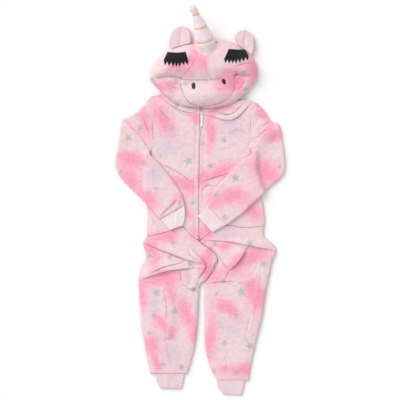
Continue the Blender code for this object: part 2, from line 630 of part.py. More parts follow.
def sleeves():
    """Sleeves folded at the elbow, and the ribbed cuffs of the sleeves and ankles."""
    def support(x, y):
        return body_support(x, y) * changed(ARMPIT, y)

    tube("sleeve_left", SLEEVE_LEFT, LIMB, support, SLEEVE_LEFT_FOLDS, SLEEVE_MESH, CLOTH, FLEECE)
    tube("sleeve_right", SLEEVE_RIGHT, LIMB, support, SLEEVE_RIGHT_FOLDS, SLEEVE_MESH, CLOTH, FLEECE)
    for name, sections in (("cuff_left", CUFF_LEFT), ("cuff_right", CUFF_RIGHT)):
        tube(name, sections, CUFF, body_front, [], CUFF_MESH, RIB, JERSEY)
    for name, sections in (("ankle_cuff_left", ANKLE_LEFT), ("ankle_cuff_right", ANKLE_RIGHT)):
        tube(name, sections, CUFF, floor, [], ANKLE_MESH, RIB, JERSEY)


def side_panel(name, sections, steps):
    """One side of the hood, round the face opening from the horn's foot to the top of the zip."""
    table = rows(sections, np.linspace(0, 1, steps + 1))
    points = np.zeros((8, steps + 1, 3))
    for j, (outer_x, outer_y, inner_x, inner_y) in enumerate(table):
        rim = HOOD_RIM / math.hypot(inner_x - outer_x, inner_y - outer_y)
        across = rim + (1 - rim) * np.linspace(0, 1, 8) ** 1.5
        x = outer_x + across * (inner_x - outer_x)
        y = outer_y + across * (inner_y - outer_y)
        points[:, j] = np.stack([x, y, hood_height(x, y)], axis=-1)
    if name.endswith("left"):
        points = points[:, ::-1]
    return wall(add(name, grid_mesh(name, points), FLEECE), CLOTH, 1)


def hood():
    """The hood on its back: back panel, hidden inner layers, two sides, bridge and muzzle."""
    angles = np.radians(np.arange(0, 360, 6))
    outline = [(HOOD_CENTRE[0] + hood_radius(a) * math.cos(a), HOOD_CENTRE[1] + hood_radius(a) * math.sin(a))
               for a in angles]
    neck, slope = BACK_TO_NECK
    above_neck = [(x, max(y, neck - slope * (x - BACK_LEFT))) for x, y in outline]
    flat_back("hood_back", above_neck, FLEECE)
    hood_core()
    side_panel("hood_side_left", HOOD_LEFT, 22)
    side_panel("hood_side_right", HOOD_RIGHT, 24)
    bridge = [up(BRIDGE_LEFT), up(BRIDGE_RIGHT), [BRIDGE_LEFT[-1], (-10, 312), BRIDGE_RIGHT[-1]],
              [BRIDGE_LEFT[0], BRIDGE_RIGHT[0]]]
    sheet("hood_bridge", bridge, lambda x, y, t, s: hood_height(x, y), (6, 12), FLEECE)
    sheet("muzzle", [MUZZLE_LEFT, MUZZLE_RIGHT, MUZZLE_BOTTOM, MUZZLE_TOP],
          lambda x, y, t, s: muzzle_height(x, y), (13, 9), FLEECE, gap=MUZZLE_SEAM)


def hood_core():
    """The hood's hidden inner layers, as one rounded solid between its back and its upper panels."""
    angles = np.linspace(0, 2 * math.pi, 33)
    steps = np.array([0.0, 0.35, 0.6, 0.78, 0.9, 1.0])
    points = np.zeros((len(angles), len(steps), 3))
    for i, angle in enumerate(angles):
        reach = hood_radius(angle) - CORE_INSET
        x = HOOD_CENTRE[0] + steps * reach * math.cos(angle)
        y = HOOD_CENTRE[1] + steps * reach * math.sin(angle)
        y = np.maximum(y, CORE_FOOT)
        rise = np.maximum(hood_rise(x, y, 11, 15) - CORE_DEPTH, 0)
        points[i] = np.stack([x, y, FRONT_LOW + SEAM + 1 + rise], axis=-1)
    mesh = grid_mesh("hood_core", points, closed=True)
    bm = bmesh.new()
    bm.from_mesh(mesh)
    bmesh.ops.remove_doubles(bm, verts=bm.verts, dist=1e-6)
    made = bmesh.ops.extrude_face_region(bm, geom=bm.faces[:])
    for item in made["geom"]:
        if isinstance(item, bmesh.types.BMVert):
            item.co.z = (FRONT_LOW + SEAM) * MM
    bmesh.ops.recalc_face_normals(bm, faces=bm.faces)
    bm.to_mesh(mesh)
    bm.free()
    add("hood_core", mesh, FLEECE)


def hood_outside(name, gap):
    """A closed block under the hood's outer surface, with a gap over it, to trim the horn's foot."""
    x, y = np.meshgrid(np.linspace(-22, 58, 21), np.linspace(350, 418, 21), indexing="ij")
    top = raised(hood_height, x, y, CLOTH + gap)
    top[..., 2] = np.maximum(top[..., 2], CLOTH + gap)
    mesh = grid_mesh(name, top)
    bm = bmesh.new()
    bm.from_mesh(mesh)
    made = bmesh.ops.extrude_face_region(bm, geom=bm.faces[:])
    for item in made["geom"]:
        if isinstance(item, bmesh.types.BMVert):
            item.co.z = -30 * MM
    bmesh.ops.recalc_face_normals(bm, faces=bm.faces)
    bm.to_mesh(mesh)
    bm.free()
    block = bpy.data.objects.new(name, mesh)
    CUTTERS.objects.link(block)
    block.hide_render = True
    block.display_type = "WIRE"
    return block


def horn():
    """The stuffed horn: a turned form drawn in by its thread, with its foot cut to the hood."""
    mesh = bpy.data.meshes.new("horn")
    bm = bmesh.new()
    profile = [(r, z) for z, r in HORN_PROFILE] + [(0, HORN_PROFILE[0][0])]
    verts = [bm.verts.new((r * MM, 0, z * MM)) for r, z in profile[::-1]]
    for a, b in zip(verts[:-1], verts[1:]):
        bm.edges.new((a, b))
    bm.to_mesh(mesh)
    bm.free()
    obj = add("horn", mesh, LILAC_PLUSH)
    turn = obj.modifiers.new("turn", "SCREW")
    turn.steps = turn.render_steps = 18
    turn.use_merge_vertices = True
    turn.merge_threshold = 1e-5
    turn.use_normal_flip = False
    obj.rotation_euler = (math.radians(HORN_TILT - 90), 0, math.radians(HORN_LEAN))
    obj.location = [value * MM for value in HORN_BASE]
    cut = obj.modifiers.new("foot", "BOOLEAN")
    cut.operation = "DIFFERENCE"
    cut.object = hood_outside("hood_space", HORN_AIR)


def ear(name, outline):
    """An ear of two layers, pleated down the middle, lying back behind the crown."""
    left, right = outline["left"], outline["right"]
    length = math.dist(left[0], left[-1])

    def lying(low, t, s):
        pleat = EAR_PLEAT * np.exp(-(((t - 0.5) / PLEAT_WIDTH) ** 2)) * (1 - s)
        dish = EAR_DISH * (2 * t - 1) ** 2 * (1 - s)
        return low + EAR_RISE * s + dish - pleat

    across = np.linspace(0, 1, 7)
    along = np.linspace(0, 1, 8)
    inner_low = EAR_LOW + CLOTH + 1
    for layer, low, inset, material in (("back", EAR_LOW, 0, FLEECE), ("inner", inner_low, EAR_RIM, PLUSH)):
        grid = np.zeros((len(across), len(along), 3))
        for j, s in enumerate(along * (1 - 0.5 * inset / length) * EAR_TIP):
            a, b = curve(left, s)[0], curve(right, s)[0]
            width = np.linalg.norm(b - a)
            edge = min(inset / width, 0.3)
            share = edge + across * (1 - 2 * edge)
            x = a[0] + share * (b[0] - a[0])
            y = a[1] + share * (b[1] - a[1])
            grid[:, j] = np.stack([x, y, lying(low, across, s)], axis=-1)
        wall(add(f"{name}_{layer}", grid_mesh(name, grid), material), CLOTH, 1)


def lash(name, edges):
    """A strip of felt eyelashes on the brow: a band whose lower edge ends in seven points."""
    columns = 2 * LASH_COUNT
    t = np.linspace(0, 1, columns + 1)
    upper, lower = curve(edges["upper"], t), curve(edges["lower"], t)
    tip = np.where(np.arange(columns + 1) % 2 == 1, LASH_TIP, 0.0)
    rows_down = [upper + (lower - upper) * share for share in (0.0, 0.34, 0.67, 1.0)]
    rows_down.append(lower + np.stack([np.zeros_like(t), -tip - 0.6], axis=-1))
    grid = np.stack(rows_down[::-1], axis=1)
    points = raised(hood_height, grid[..., 0], grid[..., 1], CLOTH + PATCH_AIR)
    wall(add(name, grid_mesh(name, points), FELT_BLACK), FELT, 1)


def nostril(name, place):
    """An embroidered oval on the muzzle."""
    x0, y0, half_width, half_height, turn = place
    u, v = np.meshgrid(np.linspace(-1, 1, 7), np.linspace(-1, 1, 7), indexing="ij")
    u, v = u * np.sqrt(1 - v**2 / 2) * half_width, v * np.sqrt(1 - u**2 / 2) * half_height
    c, s = math.cos(math.radians(turn)), math.sin(math.radians(turn))
    points = raised(muzzle_height, x0 + c * u - s * v, y0 + s * u + c * v, CLOTH + 1.2)
    wall(add(name, grid_mesh(name, points), FELT_BLACK), STITCHED, 1)


def box(name, low, high):
    """A mesh box between two corners, in millimetres."""
    mesh = bpy.data.meshes.new(name)
    bm = bmesh.new()
    bmesh.ops.create_cube(bm, size=1.0)
    for vert in bm.verts:
        vert.co = [(a + (b - a) * (c + 0.5)) * MM for a, b, c in zip(low, high, vert.co)]
    bm.to_mesh(mesh)
    bm.free()
    return mesh


# The zip's slider: its place, half its width and length, and the heights of its plates, arch and pivot
SLIDER_AT = (3.4, 223.0)
SLIDER_HALF = (4.2, 6.5)
FOOT_HALF = (4.0, 6.0)
TAPE_LOW = 4.6
PLATE_LOW = TAPE_LOW + TAPE + 0.4
PLATE_TOP = PLATE_LOW + 2.4
PIVOT_Z = PLATE_TOP + 1.7
PIVOT_FROM_SLIDER = 1.0
POST_HALF = 0.9
ARCH_RADIUS = 0.8
ARCH_HEIGHT = 4.2
ARCH_HALF = 3.4


def zipper():
    """The zip: two tapes under the front edges, the slider, and its hinged pull tab."""
    for side, name in ((-1, "zip_tape_left"), (1, "zip_tape_right")):
        tape_line = ZIP_LINE[:-1] + [(ZIP_LINE[-1][0], TAPE_FOOT)]
        near_edge = [(x + side * TAPE_EDGES[0], y) for x, y in tape_line]
        far_edge = [(x + side * TAPE_EDGES[1], y) for x, y in tape_line]
        low_x, high_x = (far_edge, near_edge) if side < 0 else (near_edge, far_edge)
        sides = [up(low_x), up(high_x), [low_x[-1], high_x[-1]], [low_x[0], high_x[0]]]
        sheet(name, sides, lambda x, y, t, s: np.full(np.shape(x), TAPE_LOW), (2, 10), TAPE_WHITE, TAPE)
    slider()
    pull_tab()


def slider():
    """The slider: a plate over the tapes and one under them, joined by a post, with an arch for the tab."""
    x, y = SLIDER_AT
    wide, long = SLIDER_HALF
    plate = box("zip_slider", (x - wide, y - long, PLATE_LOW), (x + wide, y + long, PLATE_TOP))
    body = add("zip_slider", plate, METAL)
    edge = body.modifiers.new("edge", "BEVEL")
    edge.width = 0.6 * MM
    edge.segments = 2
    low, high = (x - POST_HALF, y + 0.5, TAPE_LOW - 0.9), (x + POST_HALF, y + 5.5, PLATE_LOW + 1)
    post = helper("slider_post", box("slider_post", low, high))
    wide, long = FOOT_HALF
    low, high = (x - wide, y - long, FRONT_LOW - 0.1), (x + wide, y + long, TAPE_LOW - 0.4)
    foot = helper("slider_foot", box("slider_foot", low, high))
    arch_data = bpy.data.curves.new("slider_arch", "CURVE")
    arch_data.dimensions = "3D"
    arch_data.bevel_depth = ARCH_RADIUS * MM
    arch_data.bevel_resolution = 2
    arch_data.use_fill_caps = True
    spline = arch_data.splines.new("POLY")
    spline.points.add(8)
    for k, point in enumerate(spline.points):
        angle = math.pi * k / 8
        point.co = (x * MM, (y + PIVOT_FROM_SLIDER - ARCH_HALF * math.cos(angle)) * MM,
                    (PLATE_TOP - 0.5 + (ARCH_HEIGHT + 0.5) * math.sin(angle) ** 0.6) * MM, 1)
    guide = bpy.data.objects.new("slider_arch_guide", arch_data)
    CUTTERS.objects.link(guide)
    bpy.context.view_layer.update()
    mesh = bpy.data.meshes.new_from_object(guide.evaluated_get(bpy.context.evaluated_depsgraph_get()))
    bpy.data.objects.remove(guide)
    bm = bmesh.new()
    bm.from_mesh(mesh)
    bmesh.ops.remove_doubles(bm, verts=bm.verts, dist=1e-6)
    bmesh.ops.recalc_face_normals(bm, faces=bm.faces)
    bm.to_mesh(mesh)
    bm.free()
    arch = helper("slider_arch", mesh)
    for other in (post, foot, arch):
        union = body.modifiers.new(other.name, "BOOLEAN")
        union.operation = "UNION"
        union.object = other


def helper(name, mesh):
    """An object that is only joined to another, and isn't a piece itself."""
    obj = bpy.data.objects.new(name, mesh)
    CUTTERS.objects.link(obj)
    obj.hide_render = True
    obj.display_type = "WIRE"
    return obj


def pull_tab():
    """The pull tab: a flat plate with an eye, whose end bar turns in the slider's arch."""
    data = bpy.data.curves.new("zip_pull_tab", "CURVE")
    data.dimensions = "2D"
    data.fill_mode = "BOTH"
    data.extrude = TAB_THICK / 2 * MM
    for right_half in (TAB_PLATE, TAB_EYE):
        outline = right_half + [(-x, y) for x, y in up(right_half)]
        spline = data.splines.new("POLY")
        spline.points.add(len(outline) - 1)
        for point, (x, y) in zip(spline.points, outline):
            point.co = (x * MM, y * MM, 0, 1)
        spline.use_cyclic_u = True
    obj = add("zip_pull_tab", data, METAL)
    x, y = SLIDER_AT
    obj.location = (x * MM, (y + PIVOT_FROM_SLIDER) * MM, PIVOT_Z * MM)


def material(name, colour, roughness, metallic=0.0):
    """A material of one colour."""
    made = bpy.data.materials.new(name)
    made.use_nodes = True
    shader = made.node_tree.nodes["Principled BSDF"]
    shader.inputs["Base Color"].default_value = colour
    shader.inputs["Roughness"].default_value = roughness
    shader.inputs["Metallic"].default_value = metallic
    return made


for old in list(bpy.data.objects):
    bpy.data.objects.remove(old)
PART = bpy.data.collections.new("unicorn_jumpsuit")
CUTTERS = bpy.data.collections.new("cutters")
bpy.context.scene.collection.children.link(PART)
bpy.context.scene.collection.children.link(CUTTERS)
FLEECE = material("printed_fleece", PINK, 0.95)
PLUSH = material("plain_plush", PALE, 0.95)
LILAC_PLUSH = material("horn_plush", LILAC, 0.85)
JERSEY = material("cuff_rib", PALE, 0.9)
FELT_BLACK = material("black_felt", BLACK, 0.95)
TAPE_WHITE = material("zip_tape", WHITE, 0.8)
METAL = material("zip_metal", STEEL, 0.35, 0.9)

body_backs()
body_fronts()
sleeves()
hood()
horn()
ear("ear_left", EAR_LEFT)
ear("ear_right", EAR_RIGHT)
lash("eyelash_left", LASH_LEFT)
lash("eyelash_right", LASH_RIGHT)
nostril("nostril_left", NOSTRIL_LEFT)
nostril("nostril_right", NOSTRIL_RIGHT)
zipper()
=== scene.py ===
"""The looks of a child's hooded unicorn jumpsuit: plush fleece, tie-dyed, laid flat and seen from above.

Every panel is a fine cloth skin on the form of its own solid. Sizes are in millimetres and angles in degrees
unless a comment says otherwise, and places are on the floor, in the frame of the solids.
"""

import math
from collections import namedtuple

import bmesh
import bpy
import numpy as np
from mathutils import Matrix, Vector

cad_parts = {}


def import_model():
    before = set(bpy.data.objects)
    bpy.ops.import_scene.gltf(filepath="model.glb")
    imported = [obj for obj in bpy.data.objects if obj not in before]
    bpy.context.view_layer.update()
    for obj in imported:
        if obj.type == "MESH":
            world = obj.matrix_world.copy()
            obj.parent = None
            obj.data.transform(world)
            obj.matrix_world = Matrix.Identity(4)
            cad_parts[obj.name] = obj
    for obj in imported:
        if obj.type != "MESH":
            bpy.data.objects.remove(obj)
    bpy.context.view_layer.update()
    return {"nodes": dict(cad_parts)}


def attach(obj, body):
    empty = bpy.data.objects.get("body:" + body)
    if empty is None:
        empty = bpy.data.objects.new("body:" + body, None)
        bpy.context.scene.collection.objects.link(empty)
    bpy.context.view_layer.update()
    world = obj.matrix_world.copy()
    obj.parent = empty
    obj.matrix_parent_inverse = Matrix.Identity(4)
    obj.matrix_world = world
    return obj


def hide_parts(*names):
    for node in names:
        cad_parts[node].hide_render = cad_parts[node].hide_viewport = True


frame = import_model()
MM = 0.001

# Driving sizes, the same as the solids'
CLOTH = 3.0
RIB = 1.8
FELT = 1.2
STITCHED = 0.8
TUBE_WALL = 2.4
SEAM = 0.1
WAIST_SEAM = 0.6
ARMPIT = 134.0
LOFT = 3.2
EDGE = 16.0
HOOD_EDGE = 42.0
HOOD_RIM = 2.4
BROW = 41.0
CHEEK = 15.0
LIMB = 9.6
CUFF = 7.2
RAMP = 16.0
RAMP_END = 7.0
HORN_LENGTH = 135.0
HORN_TILT = 24.0
HORN_LEAN = 15.5
HORN_BASE = (18, 388, 27)
ZIP_OPEN = 4.7       # half of the space between the front edges beside the slider and its tab
ZIP_SHUT = 1.0       # the same over the teeth lower down
TAPE = 1.0
BACK_TOP = CLOTH
FRONT_LOW = BACK_TOP + 0.5
BODY_TOP = FRONT_LOW + LOFT + CLOTH
SLEEVE_REST = BODY_TOP + 1.7
TAPE_LOW = 4.6
SLIDER_AT = (3.4, 223.0)

# Where the form changes on the way down the garment: the place, and the distance that the change takes
HOOD_EDGE_AT = (300, 60)
BROW_AT = (296, 52)
CHIN_AT = (288, 14)
ZIP_OPENS_AT = (172, 16)
ARMHOLE_AT = (ARMPIT, 14)
ELBOW_AT = (132, 8)
BELLY_AT = (-20, 30)
HIPS_AT = (-96, 16)

# Small sizes of the skins
BACK_WAIST_SEAM = 0.5
ZIP_FOOT = 3.0       # the waist seams keep this clear of the foot of the zip
RIB_DEPTH = 0.45

# Fineness of the skins
STEP = 1.8
COARSE = 2.0
TAPE_STEP = 3.0
HOOD_BACK_STEP = 3.0
HOOD_BACK_SPAN = 280
HOOD_SIDE_STEPS = {"hood_side_left": 170, "hood_side_right": 190}
HOOD_ACROSS = 40
SLEEVE_STEPS = (9, 38, 16, 150)    # round each side edge, across the top, across the underside, and along
CUFF_STEPS = (7, 5, 16)            # round each side edge, across each rib, and along
NEAR_STEPS = 28
SEAM_POINTS = 60
WAIST_POINTS = 17
TUBE_POINTS = 40
THREAD_SIDES = 8
RIM_ROWS = (0.0, 0.15, 0.6)
RIM_ROUND = 1.4
RIM_SHARE = 0.62
NOISE_CELLS = 64
FURROW = 0.42        # depth of the furrow at the foot of a fold, as a share of the fold's height
FURROW_WIDTH = 2.0
FURROW_MOST = 2.8
LAP = 1.5            # how far a fold laps over, as a share of the width of its steep side
LAP_FROM = 2.4       # folds lower than this don't lap
SHADE_REACH = 3     # for the painted shade in creases, the height of a point is compared with this many rows on each side of it
FULL_SHADE_DEPTH = 1.6   # and at this much below them it gets the full painted shade
SEAM_SHADE = 1.3     # how far from a seam or rim a pinker shade is still painted on the fleece
SEAM_HOLD = 10.0     # the cloth isn't pushed sideways this close to a seam
END_ROWS = 6         # nor in this many rows at each end of a sleeve
FOLD_REACH = 3       # a fold or crease ends this many of its widths away
FOLD_END = 0.02      # share of a fold's line: its ends, and half of the stretch that gives its way
CREST = 1.3          # how far the crest lies from a fold's line, as a share of the width of its steep side
LAP_REACH = 4        # a lap ends this many widths of its steep side away
LAP_WIDTH = 0.8      # and it is this share of that width across
DENT_MOST = 1.2      # the deepest dent in the underside of a back panel
CLOUD_TURN = 0.3     # the grain of soft noise is turned by this, in radians
CLOUD_TURN_STEP = 0.7

Fold = namedtuple("Fold", "x0 y0 x1 y1 x2 y2 height soft steep")
Section = namedtuple("Section", "outer_x outer_y inner_x inner_y")
Crease = namedtuple("Crease", "depth width points")
Blotch = namedtuple("Blotch", "x y long short turn strength")
Star = namedtuple("Star", "x y radius turn")
Cut = namedtuple("Cut", "width length area held rests_on")
Lump = namedtuple("Lump", "height size seed")
Warp = namedtuple("Warp", "distance size seed_x seed_y")
Swell = namedtuple("Swell", "height x y half_width half_length")
Slope = namedtuple("Slope", "height x y slope_x slope_y")
Lamp = namedtuple("Lamp", "name way spread strength")


def made(kind, table):
    """The rows of a table with its columns named."""
    return [kind(*row) for row in table]


# Seams shared by neighbouring panels, from the head down
ZIP_LINE = [(4, 252), (3, 207), (-1, 155), (-3, 77), (-4, -1), (-3, -104)]
WAIST_LEFT = [(-139, -96), (-92, -85), (-45, -71), (-22, -94), (-3, -106)]
WAIST_RIGHT = [(-3, -106), (12, -96), (30, -81), (59, -68), (116, -72), (165, -68)]
NECK_LEFT = [(-129.6, 268), (-104, 273), (-60, 266), (4, 252)]
NECK_RIGHT = [(4, 252), (60, 256), (104, 259), (133.6, 257)]
SIDE_LEFT = [
    (-129.6, 268), (-126.4, 200), (-124.8, 142), (-127.8, 129), (-132, 119), (-132, 108), (-131, 77),
    (-134, 25), (-139, -8), (-136, -40), (-139, -66), (-139, -96),
]
SIDE_RIGHT = [
    (133.6, 257), (130.2, 195), (128.0, 144), (131.4, 131), (134.6, 121), (134, 108), (135, 77),
    (145, 38), (158, 7), (166, -40), (167, -55), (165, -68),
]
LEG_LEFT_OUTER = [
    (-139, -98), (-149, -113), (-144, -132), (-142, -155), (-151, -169), (-160, -197),
    (-160, -235), (-157, -280), (-153, -330), (-144, -380), (-138, -417), (-131, -451),
]
LEG_LEFT_INNER = [
    (-3, -108), (13, -122), (27, -131), (38, -141), (44, -149), (44, -158), (37, -170), (31, -184),
    (26, -193), (13, -209), (2, -217), (-2, -226), (-4, -250), (-7, -313), (-13, -370),
    (-23, -414), (-35, -451),
]
LEG_RIGHT_OUTER = [
    (165, -70), (163, -86), (167, -98), (181, -108), (195, -125), (195, -141),
    (187, -157), (183, -177), (173, -222), (160, -305), (145, -365), (131, -430), (125, -468),
]
LEG_RIGHT_INNER = [
    (-3, -108), (16, -120), (30, -130.5), (43, -145), (47, -156), (47, -167), (42, -182), (31, -192),
    (19.5, -208), (13, -218), (11, -240), (11, -313), (12, -378), (29, -443), (43, -468),
]
CROTCH_LEFT = [(-3, -108), (22, -135), (30, -160), (24, -186), (13, -206), (0, -221), (-5, -250)]
CROTCH_RIGHT = [(-3, -108), (24, -135), (33, -160), (38, -184), (25, -200), (16, -214), (12, -240)]

HOOD_CENTRE = (10, 328)
HOOD_OUTLINE = [
    (18, 404), (-16, 405), (-52, 398), (-79, 387), (-106, 369), (-120, 347), (-128, 333),
    (-131, 322), (-130, 313), (-123, 303), (-112, 291), (-98, 277), (-78, 260), (-50, 245),
    (-8, 239), (12, 238), (60, 243), (91, 256), (113, 273), (129, 288), (141, 302),
    (148, 314), (149, 332), (147, 345), (142, 360), (127, 378), (102, 397), (72, 411), (46, 413),
]
SLIT_LEFT = [(-107, 317), (-75, 320), (-50, 316)]
SLIT_RIGHT = [(95, 327), (106, 324), (127, 322)]
MUZZLE_TOP = [(-49.8, 313), (-14, 311.2), (23, 311.2), (50, 315.4), (67.5, 325.5), (82, 331)]
MUZZLE_RIGHT = [(67, 260.8), (79.4, 271.4), (88, 287.6), (90.4, 311.4), (82, 331)]
MUZZLE_BOTTOM = [(-36.3, 262.6), (-23.4, 251.2), (-2.4, 244.2), (15.4, 244.4), (42, 250.2), (67, 260.8)]
MUZZLE_LEFT = [(-36.3, 262.6), (-44.4, 277.4), (-49.8, 295.6), (-49.8, 313)]
HOOD_LEFT = made(Section, [
    (-8, 405, -8.5, 399), (-52, 398, -8, 376), (-79, 387, -15, 358), (-106, 369, -27, 341),
    (-120, 347, -49.6, 316.4), (-128, 333, -76, 320.6), (-131, 322, -99, 318.6), (-130, 313, -99, 316.4),
    (-123, 303, -80, 317.2), (-112, 291, -50.5, 313.2), (-98, 277, -50.5, 294), (-78, 260, -45, 277),
    (-50, 245, -37, 261.5), (-26, 241, -24.5, 250), (1, 239, -2, 243.3),
])
HOOD_RIGHT = made(Section, [
    (45, 413, 43.5, 401), (72, 411, 20, 374), (102, 397, 12.5, 358), (127, 378, 15.5, 335),
    (142, 360, 30, 312.6), (147, 345, 57, 320.0), (149, 334, 81.5, 332.2), (149.5, 328, 96, 323.8),
    (149, 323, 121, 323.4), (148, 314, 119, 321.8), (141, 302, 91.4, 320.6), (129, 288, 89, 288),
    (113, 273, 80, 272), (91, 256, 67, 259.5), (60, 243, 43, 249), (32, 239.8, 20, 244.3),
    (7, 239, 4, 243.3),
])
BRIDGE_LEFT = [(-8.8, 399), (-8.3, 376), (-15.3, 358), (-27.3, 341), (-50, 314)]
BRIDGE_RIGHT = [(44, 401), (20.3, 374), (12.8, 358), (15.8, 335), (30, 312)]

SLEEVE_LEFT = made(Section, [
    (-128.3, 268.6, -121.2, 132.4), (-144, 251, -123.6, 132.4), (-161, 231, -124.5, 131),
    (-184, 216, -126.5, 130), (-204, 205, -128, 128), (-213, 148, -130, 124), (-221, 96, -130.5, 119),
    (-212, 63, -128, 114), (-180, 28, -104, 91), (-149, -1, -74, 54), (-127, -26, -53, 23),
    (-106, -50, -40, -12),
])
SLEEVE_RIGHT = made(Section, [
    (132.2, 257.6, 124.2, 135.3), (149, 250, 126.4, 135), (166, 232, 127.5, 134), (184, 206, 129.5, 132.5),
    (205, 195, 131.5, 130), (215, 148, 133, 126), (221, 90, 132.5, 121), (213, 62, 129, 115),
    (179, 30, 105, 101), (147, 0, 72, 66), (111, -34, 40, 31), (68, -66, 17, -16),
])
CUFF_LEFT = made(Section, [
    (-105.2, -49.4, -41.0, -12.4), (-92, -65, -39, -40), (-79, -79, -44, -66),
])
CUFF_RIGHT = made(Section, [
    (68.4, -65.2, 17.3, -15.6), (47, -76, 5, -31), (32, -85, -8, -42),
])
ANKLE_LEFT = made(Section, [
    (-120, -450.6, -40, -450.6), (-114, -471, -44, -471), (-107, -488, -49, -491),
])
ANKLE_RIGHT = made(Section, [
    (42, -467.4, 117, -467.4), (46, -488, 113, -488), (58, -504, 107, -507),
])

# The hood's form
HOOD_AIR = 0.9                     # between the hood and the front of the body
CHIN_EDGE = 20                     # width of the padded edge at the chin; HOOD_EDGE is the crown's
SLIT_DENTS = [(6, 8), (5, 3)]      # depth and half width
MUZZLE_SWELL = Swell(12, 18, 292, 52, 40)
MUZZLE_EDGE = 24                   # the muzzle swells over this distance from its rim
MUZZLE_SEAM = 26                   # and its padding over this one from its top seam
MUZZLE_RIM_PAD = 1.0
MUZZLE_PAD = 6.5
SLOPE_STEP = 0.5                   # half of the stretch that gives a surface's slope
NECK_SEAM = Slope(275.5, -104, 238, -0.055, 0.02)  # the hood's back ends at this sloping line
LINING_SHARE = 0.94                # how far out the hood's lining reaches
LINING = (0.3, 1.2)                # its upper and lower side, below the hood's panels
HOOD_CROWDING = 1.4                # the rows of a hood side lie closer together towards its outer edge
LUMPS = made(Lump, [(0.8, 36, 3), (0.35, 14, 7)])

# Folds: three points along the crest, height, width on its left and on its right
FRONT_LEFT_FOLDS = made(Fold, [
    (-104, 268, -58, 236, -11, 222, 5, 12, 4), (-114, 248, -96, 227, -74, 204, 2.5, 14, 6),
    (-101, 92, -53, 70, -19, 41, 3.0, 14, 4), (-62, 231, -42, 221, -12, 216, 1.6, 6, 3),
    (-115, 245, -117, 212, -97, 172, 1.8, 12, 6), (-30, 30, -22, -10, -26, -60, 1.2, 8, 5),
])
FRONT_RIGHT_FOLDS = made(Fold, [
    (22, 218, 80, 208, 130, 246, 5.5, 9, 4), (30, 232, 78, 224, 112, 250, 4.5, 8, 4),
    (70, 168, 98, 178, 124, 170, 2, 12, 6), (10, 48, 34, 58, 70, 68, 3.5, 14, 4),
    (131, 219, 125, 196, 131, 167, 1.8, 9, 7), (7, 24, 17, 36, 38, 34, 1.8, 7, 4),
    (34, 214, 62, 200, 96, 196, 1.4, 10, 8),
])
LEG_LEFT_FOLDS = made(Fold, [
    (-147, -113, -73, -141, 2, -169, 9, 14, 4), (-151, -208, -91, -185, -14, -178, 9, 14, 4.5),
    (-51, -183, -48, -202, -43, -224, 6, 12, 4), (-42, -224, -26, -230, -6, -231, 4, 12, 5),
    (-6, -210, 12, -166, -16, -134, 5, 16, 5), (4, -124, 33, -150, 22, -190, 4, 9, 9),
    (-93, -236, -85, -292, -90, -366, 5.5, 14, 4.5), (-89, -366, -74, -406, -73, -446, 3.5, 12, 5),
    (-131, -191, -98, -174, -42, -163, 4.5, 10, 4), (-35, -122, -26, -143, 2, -166, 3.5, 10, 4),
    (-26, -82, -12, -103, 8, -112, 3.2, 7, 3.5), (-150, -240, -146, -300, -140, -350, 1.6, 9, 12),
    (-24, -262, -28, -320, -38, -380, 1.6, 12, 9), (-30, -232, -14, -240, -4, -236, 1.8, 6, 4),
])
LEG_RIGHT_FOLDS = made(Fold, [
    (15, -106, 98, -112, 187, -133, 9, 14, 4), (76, -185, 103, -154, 122, -126, 9, 16, 4),
    (30, -126, 48, -146, 70, -180, 6, 15, 4.5), (141, -75, 145, -94, 147, -112, 3, 9, 5),
    (160, -162, 150, -260, 121, -378, 3, 14, 10), (18, -220, 51, -211, 93, -214, 2.6, 9, 7),
    (24, -84, 9, -97, -1, -106, 2.6, 7, 3.5), (132, -290, 124, -338, 134, -405, 2.6, 11, 7),
    (150, -175, 128, -196, 96, -204, 2.2, 12, 9), (28, -262, 26, -330, 34, -400, 1.6, 10, 12),
])
SLEEVE_LEFT_FOLDS = made(Fold, [
    (-128, 123, -163, 170, -196, 207, 3.2, 15, 4.5), (-155, 233, -141, 200, -126, 163, 3.6, 10, 5),
    (-106, -46, -91, -27, -58, 2, 2.8, 11, 5), (-121, 126, -150, 158, -160, 196, 1.8, 9, 5),
    (-62, -2, -66, -16, -80, -38, 2.0, 6, 4), (-214, 150, -190, 142, -168, 120, 1.4, 12, 9),
])
SLEEVE_RIGHT_FOLDS = made(Fold, [
    (198, 197, 161, 161, 131, 130, 4.5, 15, 4.5), (161, 189, 177, 200, 195, 205, 2.2, 8, 4),
    (197, 187, 163, 166, 128, 140, 3.0, 7, 4), (194, 172, 172, 178, 150, 164, 2.0, 8, 5),
    (214, 140, 190, 118, 176, 92, 1.4, 14, 9),
])
HOOD_FOLDS = made(Fold, [
    (87, 343, 115, 352, 139, 352, 3.4, 12, 4), (-126, 343, -108, 346, -84, 346, 2.6, 8, 4),
    (-92, 308, -70, 292, -52, 284, 2.6, 8, 5), (-57, 352, -52, 340, -50, 326, 1.4, 7, 5),
    (116, 316, 112, 296, 96, 285, 3.0, 7, 3.5), (-88, 312, -72, 302, -54, 300, 2.0, 6, 4),
    (92, 318, 86, 312, 86, 304, 1.8, 6, 4), (-118, 300, -96, 282, -70, 264, 2.0, 8, 6),
    (134, 300, 112, 280, 84, 262, 2.2, 8, 6), (12, 392, 30, 383, 44, 396, 2.0, 3, 3),
])
BACK_FOLDS = made(Fold, [
    (-110, 190, -40, 160, 60, 170, 1.2, 12, 6), (-100, 20, -20, 40, 90, 10, 1.0, 14, 7),
    (-120, -130, -70, -150, -10, -140, 1.4, 12, 6), (40, -130, 90, -150, 160, -130, 1.4, 12, 6),
    (-80, -240, -90, -310, -70, -400, 1.0, 12, 8), (90, -240, 110, -320, 80, -410, 1.0, 12, 8),
    (-70, 340, 0, 320, 80, 345, 1.2, 14, 7),
])
